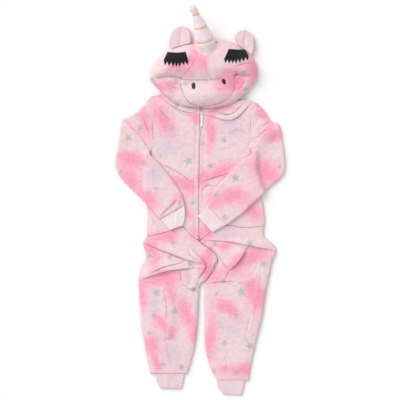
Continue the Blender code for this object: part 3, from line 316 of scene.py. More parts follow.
LEFT_ANKLE_FOLDS = made(Fold, [
    (-93, -455, -92, -470, -91, -490, 1.6, 6, 2.4),
])
LEFT_CUFF_FOLDS = made(Fold, [
    (-62, -22, -66, -42, -66, -62, 1.6, 7, 3),
])

# Fine creases: depth, width, and points along them
BODY_CREASES = made(Crease, [
    (1.2, 2.5, [(-62, 232), (-42, 222), (-14, 218)]), (1.2, 3.0, [(28, 216), (90, 214), (131, 249)]),
    (1.2, 2.5, [(30, 223), (61, 219), (98, 249)]), (1.0, 3.0, [(-115, 249), (-115, 215), (-94, 176)]),
    (1.4, 2.5, [(-2, 57), (33, 62), (88, 90)]), (1.4, 2.5, [(7, 23), (17, 36), (36, 33)]),
    (1.0, 2.5, [(7, 30), (6, 10), (12, -14)]), (0.8, 3.0, [(-101, 92), (-53, 72), (-24, 44)]),
    (0.8, 3.0, [(40, 148), (62, 160), (86, 163)]), (0.8, 3.0, [(36, 126), (66, 132), (96, 150)]),
    (0.8, 3.0, [(-31, -38), (-40, -66), (-62, -78)]), (0.7, 3.0, [(98, 235), (106, 212), (112, 190)]),
])
SLEEVE_CREASES = made(Crease, [
    (1.2, 2.5, [(197, 187), (160, 168), (107, 129)]), (1.2, 2.5, [(193, 200), (173, 184), (153, 163)]),
    (1.2, 2.5, [(176, 183), (147, 161), (116, 150)]), (1.4, 2.5, [(-198, 210), (-165, 168), (-128, 119)]),
    (1.2, 3.0, [(-159, 228), (-141, 197), (-125, 163)]),
    (1.0, 3.0, [(-148, 236), (-139, 200), (-129, 163)]), (0.7, 3.0, [(-58, 4), (-85, -19), (-102, -41)]),
    (0.8, 3.0, [(-196, 138), (-176, 150), (-152, 148)]), (0.8, 3.0, [(-120, 66), (-106, 40), (-104, 14)]),
    (0.8, 3.0, [(96, 92), (120, 62), (128, 30)]), (0.8, 3.0, [(60, 14), (82, -8), (92, -28)]),
    (0.7, 3.0, [(208, 110), (190, 96), (176, 96)]), (0.8, 2.5, [(-70, -18), (-84, -16), (-96, -30)]),
    (0.8, 3.0, [(146, 236), (150, 214), (140, 190)]),
])
LEG_CREASES = made(Crease, [
    (2.0, 2.4, [(-145, -114), (-123, -117), (-98, -132), (-71, -141), (-39, -159), (-15, -168), (10, -170)]),
    (1.4, 2.4, [(-33, -124), (-25, -143), (4, -167)]), (1.4, 2.5, [(-131, -191), (-98, -175), (-39, -162)]),
    (2.0, 2.5, [(-145, -208), (-104, -197), (-47, -190)]),
    (1.6, 2.4, [(-47, -190), (-50, -208), (-23, -228)]), (1.6, 2.2, [(-25, -83), (-12, -105), (10, -110)]),
    (1.6, 2.2, [(21, -86), (10, -97), (-1, -105)]), (1.2, 2.5, [(-6, -140), (15, -170), (-1, -208)]),
    (2.2, 3.0, [(-96, -242), (-85, -281), (-92, -324)]),
    (2.0, 3.0, [(-92, -324), (-89, -365), (-74, -432)]),
    (2.0, 2.4, [(4, -110), (37, -107), (69, -107), (91, -116), (115, -126), (159, -135)]),
    (1.8, 2.4, [(121, -132), (99, -159), (75, -187)]), (1.6, 2.5, [(7, -116), (45, -143), (71, -185)]),
    (1.4, 2.4, [(140, -80), (144, -97), (148, -112)]), (1.0, 3.0, [(132, -292), (124, -338), (134, -405)]),
    (1.2, 3.0, [(15, -210), (53, -213), (91, -202)]), (1.0, 3.0, [(-60, -232), (-66, -262), (-60, -296)]),
    (1.0, 3.0, [(150, -188), (140, -230), (146, -270)]), (0.9, 3.0, [(24, -226), (34, -256), (30, -300)]),
    (0.9, 3.0, [(-150, -222), (-128, -216), (-110, -222)]),
    (0.9, 3.0, [(60, -400), (70, -430), (66, -458)]),
])
HOOD_CREASES = made(Crease, [
    (2.2, 2.4, SLIT_LEFT), (2.2, 2.4, SLIT_RIGHT), (1.2, 2.5, [(114, 311), (108, 291), (85, 283)]),
    (1.2, 2.5, [(-126, 343), (-110, 345), (-94, 345)]), (1.0, 2.5, [(-53, 348), (-51, 338), (-50, 330)]),
    (1.4, 2.5, [(88, 348), (116, 353), (140, 353)]),
    (1.6, 2.2, [(-6, 389), (8, 375), (25, 380), (43, 400)]),
])

# Horn: distance from its base, and radius, drawn in where the gold thread is wound
HORN_PROFILE = [
    (-22, 22.5), (0, 23.5), (14, 25.4), (26, 25.4), (30.5, 24.0), (32, 23.4), (33.5, 24.0), (50, 21.2),
    (64, 17.2), (67.6, 15.8), (69, 15.2), (70.4, 15.8), (88, 13.0), (102, 9.8), (105.8, 8.6), (107, 8.2),
    (108.2, 8.6), (119, 10.1), (128, 8.6), (133, 5.0), (HORN_LENGTH, 0.0),
]
THREAD_AT = [(32, 23.4), (69, 15.2), (107, 8.2)]
THREAD = 0.75
HORN_TIP = 0.4
HORN_SIDES = 72
HORN_ROWS = 170
FOOT_SEAM = 1.9
HORN_BEND = (-0.00105, -0.00035)
HORN_BEND_FROM = 45.0
HORN_POINTS = 400
HORN_CLEAR = 0.4                   # the horn starts this far above the hood
HORN_UNEVEN = 0.025
HORN_CLOUD = (20, 12, 6)           # its radius in the noise, the size of its lumps, and their seed
THREAD_SUNK = 0.5                  # shares of the thread's thickness
THREAD_APART = 0.95

EAR_LEFT = {"left": [(-81, 392.3), (-79, 413), (-72, 433), (-63, 446), (-48, 450)],
            "right": [(-25, 407.3), (-23, 420), (-25, 433), (-33, 446), (-48, 450)]}
EAR_RIGHT = {"left": [(99.9, 402.6), (91, 412), (90, 421), (96, 433), (117, 442)],
             "right": [(134.8, 374.6), (140, 388), (141, 404), (138, 424), (117, 442)]}
EAR_LOW = 8.0
EAR_RISE = 4.0
EAR_PLEAT = 3.0
EAR_DISH = 2.0
EAR_RIM = 3.0
EAR_TIP = 0.985
PLEAT_WIDTH = 0.09
EAR_AIR = 1.0
EAR_STEP = 1.6
EAR_SIZE = (56, 60)
EAR_RIM_MOST = 0.3     # as a share of the ear's width
EAR_LUMPS = 0.5
PLEAT_FADE = 0.6

LASH_LEFT = {"upper": [(-83, 380), (-60, 379), (-38, 381)], "lower": [(-93, 359.5), (-62, 355), (-31, 361)]}
LASH_RIGHT = {"upper": [(73, 389), (93, 387), (114, 387)], "lower": [(62, 365), (92, 362.5), (123, 370.5)]}
LASH_TIP = 9.5
LASH_COUNT = 7
LASH_POINTS = 16       # for each lash
LASH_HALF = 0.44       # half of a lash's width, as a share of the way to the next
LASH_POWER = 0.8
LASH_LEAN = 0.5
BAND_ROWS = 14
TIP_ROWS = 9
FELT_LIFT = (0.5, 0.8)  # of its lower side over the cloth, and of its upper side besides its thickness
SATIN = (0.12, 0.9)    # depth and pitch of the stitches
DOME = 0.8
STITCH_LIFT = (0.5, 0.6)  # the same for the nostrils
NOSTRIL_POINTS = 41
NOSTRIL_LEFT = (-17, 295, 5.0, 9.0, 0)
NOSTRIL_RIGHT = (61, 307, 5.0, 8.0, 20)

# The zip: its tapes from edge to edge and down to their end, its teeth, and the stitches beside it
TAPE_EDGES = (1.3, 12)
TAPE_END = -95
TOOTH_PITCH = 1.5
TOOTH_HALF = 0.8
SHUT_TEETH = (0.5, 1.5, 1.3)       # distance from the zip's line, half width, half height
OPEN_TEETH = (2.2, 2.0, 1.8)
TEETH_REACH = (246, 7, 8, -94)     # top, clear of the slider above it and below it, and bottom
TOOTH_AIR = 0.1
TOOTH_RINGS = 5
STITCH_LINES = (12.5, 8.5)         # left and right of the zip
STITCH_FURROW = (1.3, 2.0)         # depth and half width
STITCH_RIGHT_SHARE = 0.4
STITCH_REACH = (236, -92)
STITCH_PITCH = 3.2
STITCH_SUNK = 0.6
STITCH_SIZE = (1.3, 0.35, 0.35)
STITCH_RINGS = 6
ZIP_POINTS = 800

# Pink dye as it lies: centre, half length, half width, turn, strength
PINK_DYE = made(Blotch, [
    (-93, 207, 42, 17, -62, 0.9), (-143, 199, 36, 9, -70, 0.8), (-165, 180, 40, 7, -50, 0.4),
    (-178, 105, 36, 14, -3, 0.95), (-186, 57, 27, 20, -50, 0.9), (-138, 3, 31, 15, -45, 0.9),
    (-45, 43, 23, 12, -25, 0.9), (-30, 24, 6, 14, 0, 0.7), (-62, -3, 15, 8, 25, 0.6),
    (25, 178, 9, 46, 0, 0.95), (-15, 214, 12, 10, 0, 0.85), (54, 231, 32, 5, 8, 0.8),
    (44, 73, 42, 13, 27, 0.95), (5, 56, 8, 15, 0, 0.9), (166, 226, 26, 10, -55, 0.9),
    (192, 169, 21, 18, 0, 0.85), (170, 73, 42, 27, -40, 0.95), (84, 7, 42, 20, 8, 0.95),
    (36, -10, 10, 13, 0, 0.7), (140, -33, 21, 24, 0, 0.8), (-34, -33, 5, 16, 5, 0.75),
    (-95, -96, 30, 8, 15, 0.75), (-6, -92, 20, 12, 0, 0.75), (18, -83, 7, 8, 0, 0.9),
    (-125, -126, 16, 18, -30, 0.9), (-116, -162, 11, 17, 0, 0.7), (-77, -99, 14, 10, 0, 0.85),
    (-98, -205, 50, 13, 10, 0.95), (-81, -237, 10, 21, 0, 0.8), (-151, -248, 8, 35, 0, 0.8),
    (-36, -297, 45, 13, -62, 0.9), (-104, -319, 19, 10, -35, 0.85), (-75, -343, 12, 13, 0, 0.85),
    (-125, -375, 18, 25, 25, 0.9), (-117, -430, 8, 24, 0, 0.9), (-14, -357, 7, 20, 0, 0.75),
    (21, -146, 27, 11, 70, 0.85), (21, -189, 23, 12, 100, 0.95), (60, -118, 13, 8, 0, 0.8),
    (140, -148, 38, 11, 12, 0.95), (102, -170, 36, 15, 42, 0.85), (50, -197, 20, 8, 45, 0.6),
    (143, -246, 42, 20, -65, 0.95), (72, -284, 37, 13, -42, 0.9), (33, -346, 10, 52, 0, 0.8),
    (18, -376, 7, 32, 0, 0.85), (80, -445, 46, 11, 0, 0.7), (113, -441, 17, 13, 0, 0.9),
    (-21, 363, 14, 29, -10, 0.95), (-63, 343, 27, 8, -5, 0.8), (-79, 294, 23, 9, -30, 0.8),
    (-111, 288, 36, 10, -42, 0.9), (7, 355, 9, 23, 0, 0.9), (72, 305, 30, 22, 70, 0.88),
    (101, 302, 12, 19, 0, 0.9), (138, 339, 12, 36, 5, 0.9), (117, 350, 27, 6, 5, 0.55),
])
LILAC_DYE = made(Blotch, [
    (-81, 142, 22, 18, 0, 0.8), (82, 189, 26, 16, 0, 0.8), (-125, 67, 26, 12, 10, 0.9),
    (67, -86, 30, 10, 5, 0.8), (-131, -266, 20, 16, 0, 0.7), (85, -336, 22, 18, 0, 0.8),
    (-79, -401, 18, 24, 0, 0.8), (-15, -285, 9, 22, 0, 0.6), (5, -280, 5, 20, 0, 0.6),
])
CREAM_DYE = made(Blotch, [
    (-90, 252, 30, 14, -20, 0.9), (-70, 110, 40, 26, -30, 0.7), (60, 120, 44, 24, 10, 0.7),
    (-170, 130, 24, 12, 0, 0.7), (-150, 30, 26, 16, 0, 0.7), (200, 118, 18, 18, 0, 0.9),
    (120, 40, 26, 12, 20, 0.7), (130, -8, 30, 10, 20, 0.8), (-60, -45, 26, 20, 0, 0.9),
    (-60, -180, 50, 12, 8, 0.8), (-15, -195, 20, 24, 0, 0.9), (-60, -130, 40, 12, -20, 0.7),
    (-105, -265, 24, 22, 0, 0.7), (-55, -370, 20, 30, 0, 0.6), (60, -150, 22, 16, 0, 0.8),
    (95, -225, 30, 18, 0, 0.7), (160, -195, 20, 22, 0, 0.8), (100, -370, 26, 40, 0, 0.7),
    (-35, -235, 22, 10, 0, 0.9), (130, -120, 44, 10, -8, 0.7), (-20, 275, 40, 22, 0, 0.8),
    (-110, 335, 20, 10, 0, 0.6), (40, 340, 26, 22, 0, 0.6), (90, 358, 24, 7, 20, 0.9),
    (120, 275, 30, 8, 45, 0.9), (-60, 396, 26, 8, 20, 0.7), (124, 325, 14, 6, 0, 0.9),
])
PRINTED_STARS = made(Star, [
    (-75, 184, 9, 10), (-32, 101, 12, 20), (-102, 114, 6, 0), (7, 145, 9, 35), (62, 155, 9, -25),
    (27, 88, 10, 15), (-20, -8, 9, 8), (-187, 161, 12, 30), (-154, 187, 10, 50), (-146, 98, 9, 12),
    (-206, 72, 7, 40), (-116, 29, 6, 15), (-53, -8, 8, 60), (151, 222, 8, 20), (150, 85, 10, -12),
    (92, 57, 12, 5), (206, 85, 6, 33), (41, 12, 9, 48), (63, -46, 9, -8), (-79, 283, 11, 22),
    (-63, 309, 8, 3), (-38, 302, 8, 41), (112, 330, 9, 15), (116, 288, 9, 56), (-61, 244, 9, 30),
    (-72, -110, 8, 12), (-80, -150, 8, 40), (-131, -146, 10, 26), (-27, -166, 10, 18), (38, -114, 10, -6),
    (129, -111, 12, 9), (116, -145, 9, 31), (164, -167, 11, 52), (59, -210, 9, 24), (107, -239, 12, 14),
    (42, -245, 7, 44), (93, -301, 9, 2), (63, -372, 9, 36), (129, -380, 12, 21), (95, -449, 9, 11),
    (34, -448, 9, 28), (-115, -242, 11, 17), (-66, -289, 11, 8), (-119, -301, 8, 46), (-132, -345, 8, 20),
    (-80, -356, 10, 33), (-96, -428, 9, 5), (-49, -436, 10, 62), (-18, -233, 8, 25), (-2, 412, 8, 10),
    (-128, 312, 8, 18),
])
SOAK = 5.0                       # how far the dye has spread past each blotch
SOAK_FALL = 0.8
SOAK_POWER = 1.15
DYE_WARPS = made(Warp, [(7, 26, 1, 5), (3, 9, 2, 8)])
STAR_FADE = (1.7, 0.3)           # in radii of the star
HIDDEN_SLOPE = -0.2              # a side whose normal points down more than this is hidden
HIDDEN_SHIFT = (37.0, -53.0)     # the print of a hidden side is this far out of step with the side above it

# Noise of the materials: lumps in a metre, detail and roughness
NOISES = {
    "tufts": (620, 3.0, 0.6), "matted": (95, 2.0, 0.55), "grain": (140, 3.0, 0.6),
    "print clouds": (16, 2.0, 0.5), "ragged": (190, 3.0, 0.6), "plush clouds": (30, 2.0, 0.5),
    "horn clouds": (22, 2.0, 0.5), "rib clouds": (24, 2.0, 0.5), "knit": (1500, 2.0, 0.5),
    "knit lumps": (160, 2.0, 0.5), "fibres": (900, 4.0, 0.7), "twist": (1400, 2.0, 0.5),
    "dull": (260, 3.0, 0.6), "dents": (500, 2.0, 0.5), "moulded": (800, 2.0, 0.5), "floor": (6, 2.0, 0.5),
}
WEAVE_SCALE = 420.0

# Colours of the print, and the two shades between which each other material varies
BLUSH = "#F5D6DD"
CREAM = "#F1DFDE"
LILAC = "#E3CDDF"
PALE_PINK = "#FCC4D2"
PINK = "#FFA6C2"
STAR_GREY = "#BFC1BD"
# pink painted as shade into creases and along seams and rims
PAINTED_SHADE_PINK = "#EE9DB3"
# the threads, felt, zip tape and teeth take their second, lighter shade as painted highlight on the raised
# places of their bump
SHADES = {
    "plain_plush": ("#F5DBE2", "#F0D5DD"), "horn_plush": ("#FCEBEC", "#F6E4EB"),
    "cuff_rib": ("#FFF2F4", "#FBE6EA"), "ankle_rib": ("#F6E0E6", "#EFD5DD"),
    "black_felt": ("#0A0708", "#181314"), "black_thread": ("#151112", "#2E2829"),
    "gold_thread": ("#DDA443", "#FFDC7E"), "sewing_thread": ("#E3B9C5", "#F3D5DD"),
    "zip_tape": ("#F8F0F2", "#FFFDFD"), "zip_metal": ("#F7F4F4", "#B9B6B5"),
    "zip_teeth": ("#F1E6E9", "#FFFBFC"),
}
# painted shade, multiplied into the pile where its bump lies low
PAINTED_PILE_SHADE = (0.90, 0.86, 0.88, 1)
# painted shade, multiplied into the rib knit where its stitches lie low
PAINTED_KNIT_SHADE = (0.84, 0.78, 0.80, 1)
FLOOR_SHADES = ((0.985, 0.985, 0.985, 1), (1.0, 1.0, 1.0, 1))
STAR_NOTCH = 0.48                  # radius of a star's inner corners, as a share of the outer ones
STAR_EDGE = (0.20, 0.14)           # how far its edge is soft, outward and inward
STAR_STRENGTH = 0.80
RAGGED = 0.42

# Studio, in metres
STAGE_FLOOR = "studio_floor"
FLOOR_HALF = 12.0
FLOOR_BELOW = 0.0004
SKY_COLOUR = (1, 0.995, 0.99, 1)
SKY_STRENGTH = 0.52
LAMPS = [Lamp("key", (-0.62, 0.62, 0.82), 45, 1.72), Lamp("fill", (0.1, -0.2, 1), 70, 0.42)]
LAMPS_AWAY = 3
EYE = (-0.0008, -0.00065, 16.0)
VIEW_WIDTH = 1.04
SENSOR = 36.0                      # in millimetres
VIEW_END = 100.0


def curve(points, share):
    """Points at each share, from 0 to 1, of the smooth curve through some points, spaced by its length."""
    points = np.array(points, float)
    steps = np.linalg.norm(np.diff(points[:, :2], axis=0), axis=1)
    return hermite(points, np.concatenate([[0], np.cumsum(steps)]) / steps.sum(), share)


def rows(points, share):
    """The same, but with the table's rows evenly spaced, so that two tables stay in step."""
    points = np.array(points, float)
    return hermite(points, np.linspace(0, 1, len(points)), share)


def hermite(points, knots, share):
    """Points at each share of the smooth curve that passes through each point at its knot."""
    share = np.atleast_1d(np.asarray(share, float))
    slopes = np.gradient(points, knots, axis=0)
    k = np.clip(np.searchsorted(knots, share, side="right") - 1, 0, len(knots) - 2)
    width = (knots[k + 1] - knots[k])[:, None]
    u = ((share - knots[k]) / width[:, 0])[:, None]
    return (
        (2 * u**3 - 3 * u**2 + 1) * points[k] + (u**3 - 2 * u**2 + u) * width * slopes[k]
        + (3 * u**2 - 2 * u**3) * points[k + 1] + (u**3 - u**2) * width * slopes[k + 1]
    )


def smooth(value):
    """0 below 0, 1 above 1, and a soft step between."""
    value = np.clip(value, 0, 1)
    return value * value * (3 - 2 * value)


def past(value, start, over):
    """0 up to start, 1 from start + over, and a soft step between."""
    return smooth((value - start) / over)


def before(value, start, over):
    """1 up to start - over, 0 from start, and a soft step between."""
    return smooth((start - value) / over)


def rounded(distance, width):
    """Rise of a padded edge: a quarter of an ellipse over width, then level."""
    rest = 1 - np.clip(distance / width, 0, 1)
    return np.sqrt(1 - rest**2)


def near(points, x, y):
    """Distance from each x, y to a curve, which side of it they lie, and how far along it."""
    line = curve(points, np.linspace(0, 1, NEAR_STEPS + 1))
    spot = np.stack([np.ravel(x), np.ravel(y)], axis=1)
    best = np.full(len(spot), np.inf)
    side = np.zeros(len(spot))
    along = np.zeros(len(spot))
    for k in range(NEAR_STEPS):
        way = line[k + 1] - line[k]
        to = spot - line[k]
        share = np.clip(to @ way / (way @ way), 0, 1)
        distance = np.hypot(to[:, 0] - share * way[0], to[:, 1] - share * way[1])
        closer = distance < best
        best[closer] = distance[closer]
        side[closer] = np.sign(way[0] * to[closer, 1] - way[1] * to[closer, 0])
        along[closer] = (k + share[closer]) / NEAR_STEPS
    shape = np.shape(x)
    return best.reshape(shape), side.reshape(shape), along.reshape(shape)


def within(points, margin, x, y):
    """Which x, y lie in the box round some points, widened by a margin."""
    low = np.min(points, axis=0) - margin
    high = np.max(points, axis=0) + margin
    return (x > low[0]) & (x < high[0]) & (y > low[1]) & (y < high[1])


def taper(along):
    """1 in the middle of a fold's line, and next to nothing at its ends."""
    return np.sin(np.pi * np.clip(along, FOLD_END, 1 - FOLD_END)) ** 0.5


def bell(distance, width):
    """1 at no distance, falling away to nothing over about twice the width."""
    return np.exp(-((distance / width) ** 2))


def line_of(fold):
    """The three points of a fold's line."""
    return [(fold.x0, fold.y0), (fold.x1, fold.y1), (fold.x2, fold.y2)]


def folds(table, x, y):
    """Height that the folds add: a crest just left of each line, and a steep side down to a furrow on it."""
    total = np.zeros(np.shape(x))
    for fold in table:
        line = line_of(fold)
        close = within(line, FOLD_REACH * max(fold.soft, fold.steep), x, y)
        if not close.any():
            continue
        distance, side, along = near(line, x[close], y[close])
        from_crest = distance * side - CREST * fold.steep
        width = np.where(from_crest > 0, fold.soft, fold.steep)
        furrow = min(FURROW * fold.height, FURROW_MOST) * bell(distance, FURROW_WIDTH)
        total[close] += taper(along) * (fold.height * bell(from_crest, width) - furrow)
    return total


def laps(table, x, y):
    """How far the larger folds push the cloth sideways, so that each laps over its own furrow."""
    move_x, move_y = np.zeros(np.shape(x)), np.zeros(np.shape(x))
    for fold in table:
        line = line_of(fold)
        close = within(line, LAP_REACH * fold.steep, x, y)
        if fold.height < LAP_FROM or not close.any():
            continue
        distance, side, along = near(line, x[close], y[close])
        way = curve(line, np.clip(along + FOLD_END, 0, 1)) - curve(line, np.clip(along - FOLD_END, 0, 1))
        way = way / np.hypot(way[:, 0], way[:, 1])[:, None]
        from_crest = distance * side - CREST * fold.steep
        push = LAP * fold.steep * taper(along) * bell(from_crest, LAP_WIDTH * fold.steep)
        move_x[close] += push * way[:, 1]
        move_y[close] -= push * way[:, 0]
    return move_x, move_y


def creases(table, x, y):
    """Depth of the fine creases, each through a few points."""
    total = np.zeros(np.shape(x))
    for crease in table:
        close = within(crease.points, FOLD_REACH * crease.width, x, y)
        if not close.any():
            continue
        distance, _, along = near(crease.points, x[close], y[close])
        total[close] += crease.depth * taper(along) * bell(distance, crease.width)
    return total


def cloudy(x, y, size, seed):
    """Soft noise from -1 to 1 at each x, y, with lumps of about that size."""
    heights = np.random.default_rng(seed).uniform(-1, 1, (NOISE_CELLS, NOISE_CELLS))
    turn = CLOUD_TURN + CLOUD_TURN_STEP * seed
    u = (x * math.cos(turn) - y * math.sin(turn)) / size
    v = (x * math.sin(turn) + y * math.cos(turn)) / size
    i, j = np.floor(u).astype(int), np.floor(v).astype(int)
    across, up_share = smooth(u - i), smooth(v - j)
    low = heights[i % NOISE_CELLS, j % NOISE_CELLS] * (1 - across)
    low = low + heights[(i + 1) % NOISE_CELLS, j % NOISE_CELLS] * across
    high = heights[i % NOISE_CELLS, (j + 1) % NOISE_CELLS] * (1 - across)
    high = high + heights[(i + 1) % NOISE_CELLS, (j + 1) % NOISE_CELLS] * across
    return low * (1 - up_share) + high * up_share


def lumps(x, y):
    """The small unevenness of soft cloth that has been laid out by hand."""
    return sum(lump.height * cloudy(x, y, lump.size, lump.seed) for lump in LUMPS)


def spaced(length, step):
    """Shares from 0 to 1 along a length, closer together at both ends, where a rim rounds over."""
    inset = RIM_ROWS[-1]
    inner = np.linspace(inset, length - inset, max(3, round((length - 2 * inset) / step)) + 1)
    ends = np.array(RIM_ROWS[:-1])
    return np.concatenate([ends, inner, length - ends[::-1]]) / length


def patch(left, right, bottom, top, across, along):
    """x and y of a grid between four curves. Left and right run up, bottom and top run to the right."""
    t, s = np.meshgrid(across, along, indexing="ij")
    low, high = np.array(bottom[0], float), np.array(top[0], float)
    low_end, high_end = np.array(bottom[-1], float), np.array(top[-1], float)
    left_xy = curve(left, s.ravel()).reshape(*s.shape, 2)
    right_xy = curve(right, s.ravel()).reshape(*s.shape, 2)
    bottom_xy = curve(bottom, t.ravel()).reshape(*s.shape, 2)
    top_xy = curve(top, t.ravel()).reshape(*s.shape, 2)
    t, s = t[..., None], s[..., None]
    corners = (1 - s) * ((1 - t) * low + t * low_end) + s * ((1 - t) * high + t * high_end)
    xy = (1 - t) * left_xy + t * right_xy + (1 - s) * bottom_xy + s * top_xy - corners
    return xy[..., 0], xy[..., 1]


def hood_radius(angle):
    """Distance from the hood's centre to its outline in that direction."""
    outline = np.array(HOOD_OUTLINE, float) - HOOD_CENTRE
    turn = np.unwrap(np.arctan2(outline[:, 1], outline[:, 0]))
    radius = np.hypot(outline[:, 0], outline[:, 1])
    turn = np.concatenate([turn - 2 * np.pi, turn, turn + 2 * np.pi])
    radius = np.tile(radius, 3)
    wanted = np.mod(angle - turn[0], 2 * np.pi) + turn[0] + 2 * np.pi
    return np.interp(wanted, turn, radius)


def hood_base(x, y):
    """Height of what the hood lies on: its own back panel, and lower down the front of the body."""
    body = BODY_TOP + HOOD_AIR + folds(FRONT_LEFT_FOLDS[:2] + FRONT_RIGHT_FOLDS[:2], x, y)
    return FRONT_LOW + (body - FRONT_LOW) * before(y, *CHIN_AT)


def hood_rise(x, y):
    """How high the hood's upper panels stand over what the hood lies on."""
    dx, dy = x - HOOD_CENTRE[0], y - HOOD_CENTRE[1]
    edge = hood_radius(np.arctan2(dy, dx)) - HOOD_RIM - np.hypot(dx, dy)
    crown = CHEEK + (BROW - CHEEK) * past(y, *BROW_AT)
    width = CHIN_EDGE + (HOOD_EDGE - CHIN_EDGE) * past(y, *HOOD_EDGE_AT)
    slit = 0
    for line in (SLIT_LEFT, SLIT_RIGHT):
        distance, _, _ = near(line, x, y)
        for depth, half_width in SLIT_DENTS:
            slit = slit + depth * bell(distance, half_width)
    pad = MUZZLE_SWELL
    swell = pad.height * np.exp(-(((x - pad.x) / pad.half_width) ** 2) - ((y - pad.y) / pad.half_length) ** 2)
    uneven = folds(HOOD_FOLDS, x, y) - creases(HOOD_CREASES, x, y) + lumps(x, y)
    return np.maximum((crown + swell - slit + uneven) * rounded(edge, width), 0)


def hood_height(x, y):
    """Underside of the hood's upper panels."""
    return hood_base(x, y) + hood_rise(x, y)


def muzzle_height(x, y):
    """Underside of the padded muzzle: above the hood inside its rim, and level with it along its top seam."""
    from_rim, _, _ = near(MUZZLE_LEFT[::-1] + MUZZLE_BOTTOM[1:] + MUZZLE_RIGHT[1:], x, y)
    from_top, _, _ = near(MUZZLE_TOP, x, y)
    swell = np.sin(np.pi / 2 * np.clip(from_rim / MUZZLE_EDGE, 0, 1))
    return hood_height(x, y) + swell * (MUZZLE_RIM_PAD + MUZZLE_PAD * smooth(from_top / MUZZLE_SEAM))


def raised(surface, x, y, offset):
    """x, y, z of points moved out of a surface along its normal."""
    step = SLOPE_STEP
    slope_x = (surface(x + step, y) - surface(x - step, y)) / (2 * step)
    slope_y = (surface(x, y + step) - surface(x, y - step)) / (2 * step)
    length = np.sqrt(1 + slope_x**2 + slope_y**2)
    moved = (x - slope_x / length * offset, y - slope_y / length * offset, surface(x, y) + offset / length)
    return np.stack(moved, axis=-1)


def body_edge(x, y):
    """How far a point lies inside the side seams of the body, negative outside."""
    left = curve(SIDE_LEFT, np.linspace(0, 1, SEAM_POINTS))
    right = curve(SIDE_RIGHT, np.linspace(0, 1, SEAM_POINTS))
    from_left = x - np.interp(y, left[::-1, 1], left[::-1, 0])
    from_right = np.interp(y, right[::-1, 1], right[::-1, 0]) - x
    return np.minimum(from_left, from_right)


def body_support(x, y):
    """Height of what a folded sleeve rests on: the front of the body, or the floor beside it."""
    return SLEEVE_REST * smooth((body_edge(x, y) + RAMP + RAMP_END) / RAMP)


def from_ends(points, axis):
    """Distance from each grid point to the nearer end of its line along that axis."""
    steps = np.linalg.norm(np.diff(points, axis=axis), axis=-1)
    run = np.cumsum(steps, axis=axis)
    run = np.concatenate([np.zeros_like(np.take(run, [0], axis=axis)), run], axis=axis)
    return np.minimum(run, np.take(run, [-1], axis=axis) - run)


def quads(index, closed):
    """Faces of a grid of point numbers; closed joins its last column to its first."""
    if closed:
        index = np.concatenate([index, index[:1]])
    faces = np.stack([index[:-1, :-1], index[1:, :-1], index[1:, 1:], index[:-1, 1:]], axis=-1)
    return faces.reshape(-1, 4)


def skin(name, outer, inner, closed=False):
    """A closed skin between an outer and an inner grid of points, in millimetres, thinner at its rims.

    closed joins the last column to the first, as round a tube.
    Each point also carries a painted shade, deeper in its creases and close to its rims.
    """
    middle = (outer + inner) / 2
    reach = from_ends(middle, 1)
    if not closed:
        reach = np.minimum(reach, from_ends(middle, 0))
    full = (RIM_SHARE + (1 - RIM_SHARE) * rounded(reach, RIM_ROUND))[..., None]
    upper = np.arange(outer.shape[0] * outer.shape[1]).reshape(outer.shape[:2])
    under = upper.size
    points = np.concatenate([(middle + (outer - middle) * full).reshape(-1, 3),
                             (middle + (inner - middle) * full).reshape(-1, 3)])
    if closed:
        borders = [np.append(upper[:, 0], upper[0, 0]), np.append(upper[:, -1], upper[0, -1])]
    else:
        borders = [upper[0], upper[-1], upper[:, 0], upper[:, -1]]
    walls = [np.stack([b[:-1], b[1:], b[1:] + under, b[:-1] + under], axis=-1) for b in borders]
    faces = np.concatenate([quads(upper, closed), quads(upper, closed)[:, ::-1] + under] + walls)
    mesh = bpy.data.meshes.new(name)
    mesh.from_pydata((points * MM).tolist(), [], faces.tolist())
    outward(mesh)
    # the painted shade: deeper in creases, and close to the rims and seams
    depth = np.maximum(painted_crease_shade(outer[..., 2], closed), np.exp(-((reach / SEAM_SHADE) ** 2)))
    painted_shade = mesh.attributes.new("painted_shade", "FLOAT", "POINT")
    painted_shade.data.foreach_set("value", np.tile(depth.ravel(), 2))
    return mesh


def painted_crease_shade(z, closed):
    """How deep each point of a grid lies below the points round it, from 0 to 1: the share of painted shade
    there.
    """
    total = np.zeros(z.shape)
    axes = (1,) if closed else (0, 1)
    for axis in axes:
        size = [(0, 0), (0, 0)]
        size[axis] = (SHADE_REACH, SHADE_REACH)
        padded = np.pad(z, size, mode="edge")
        window = np.lib.stride_tricks.sliding_window_view(padded, 2 * SHADE_REACH + 1, axis=axis)
        total = total + window.mean(axis=-1) - z
    return np.clip(total / FULL_SHADE_DEPTH, 0, 1)


def piece(name, mesh, material):
    """An object of the jumpsuit that moves with the garment."""
    obj = bpy.data.objects.new(name, mesh)
    bpy.context.scene.collection.objects.link(obj)
    mesh.materials.append(material)
    mesh.shade_smooth()
    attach(obj, "garment")
    return obj


def stand_in(node, mesh, material):
    """A piece that is seen in place of the solid of that node."""
    obj = piece("cloth_" + node, mesh, material)
    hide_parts(node)
    return obj


def sewn(node, mesh, material, slot):
    """A stand-in of cloth, dyed and printed when it is of the printed fleece."""
    obj = stand_in(node, mesh, material)
    if slot == "printed_fleece":
        dyed(obj)


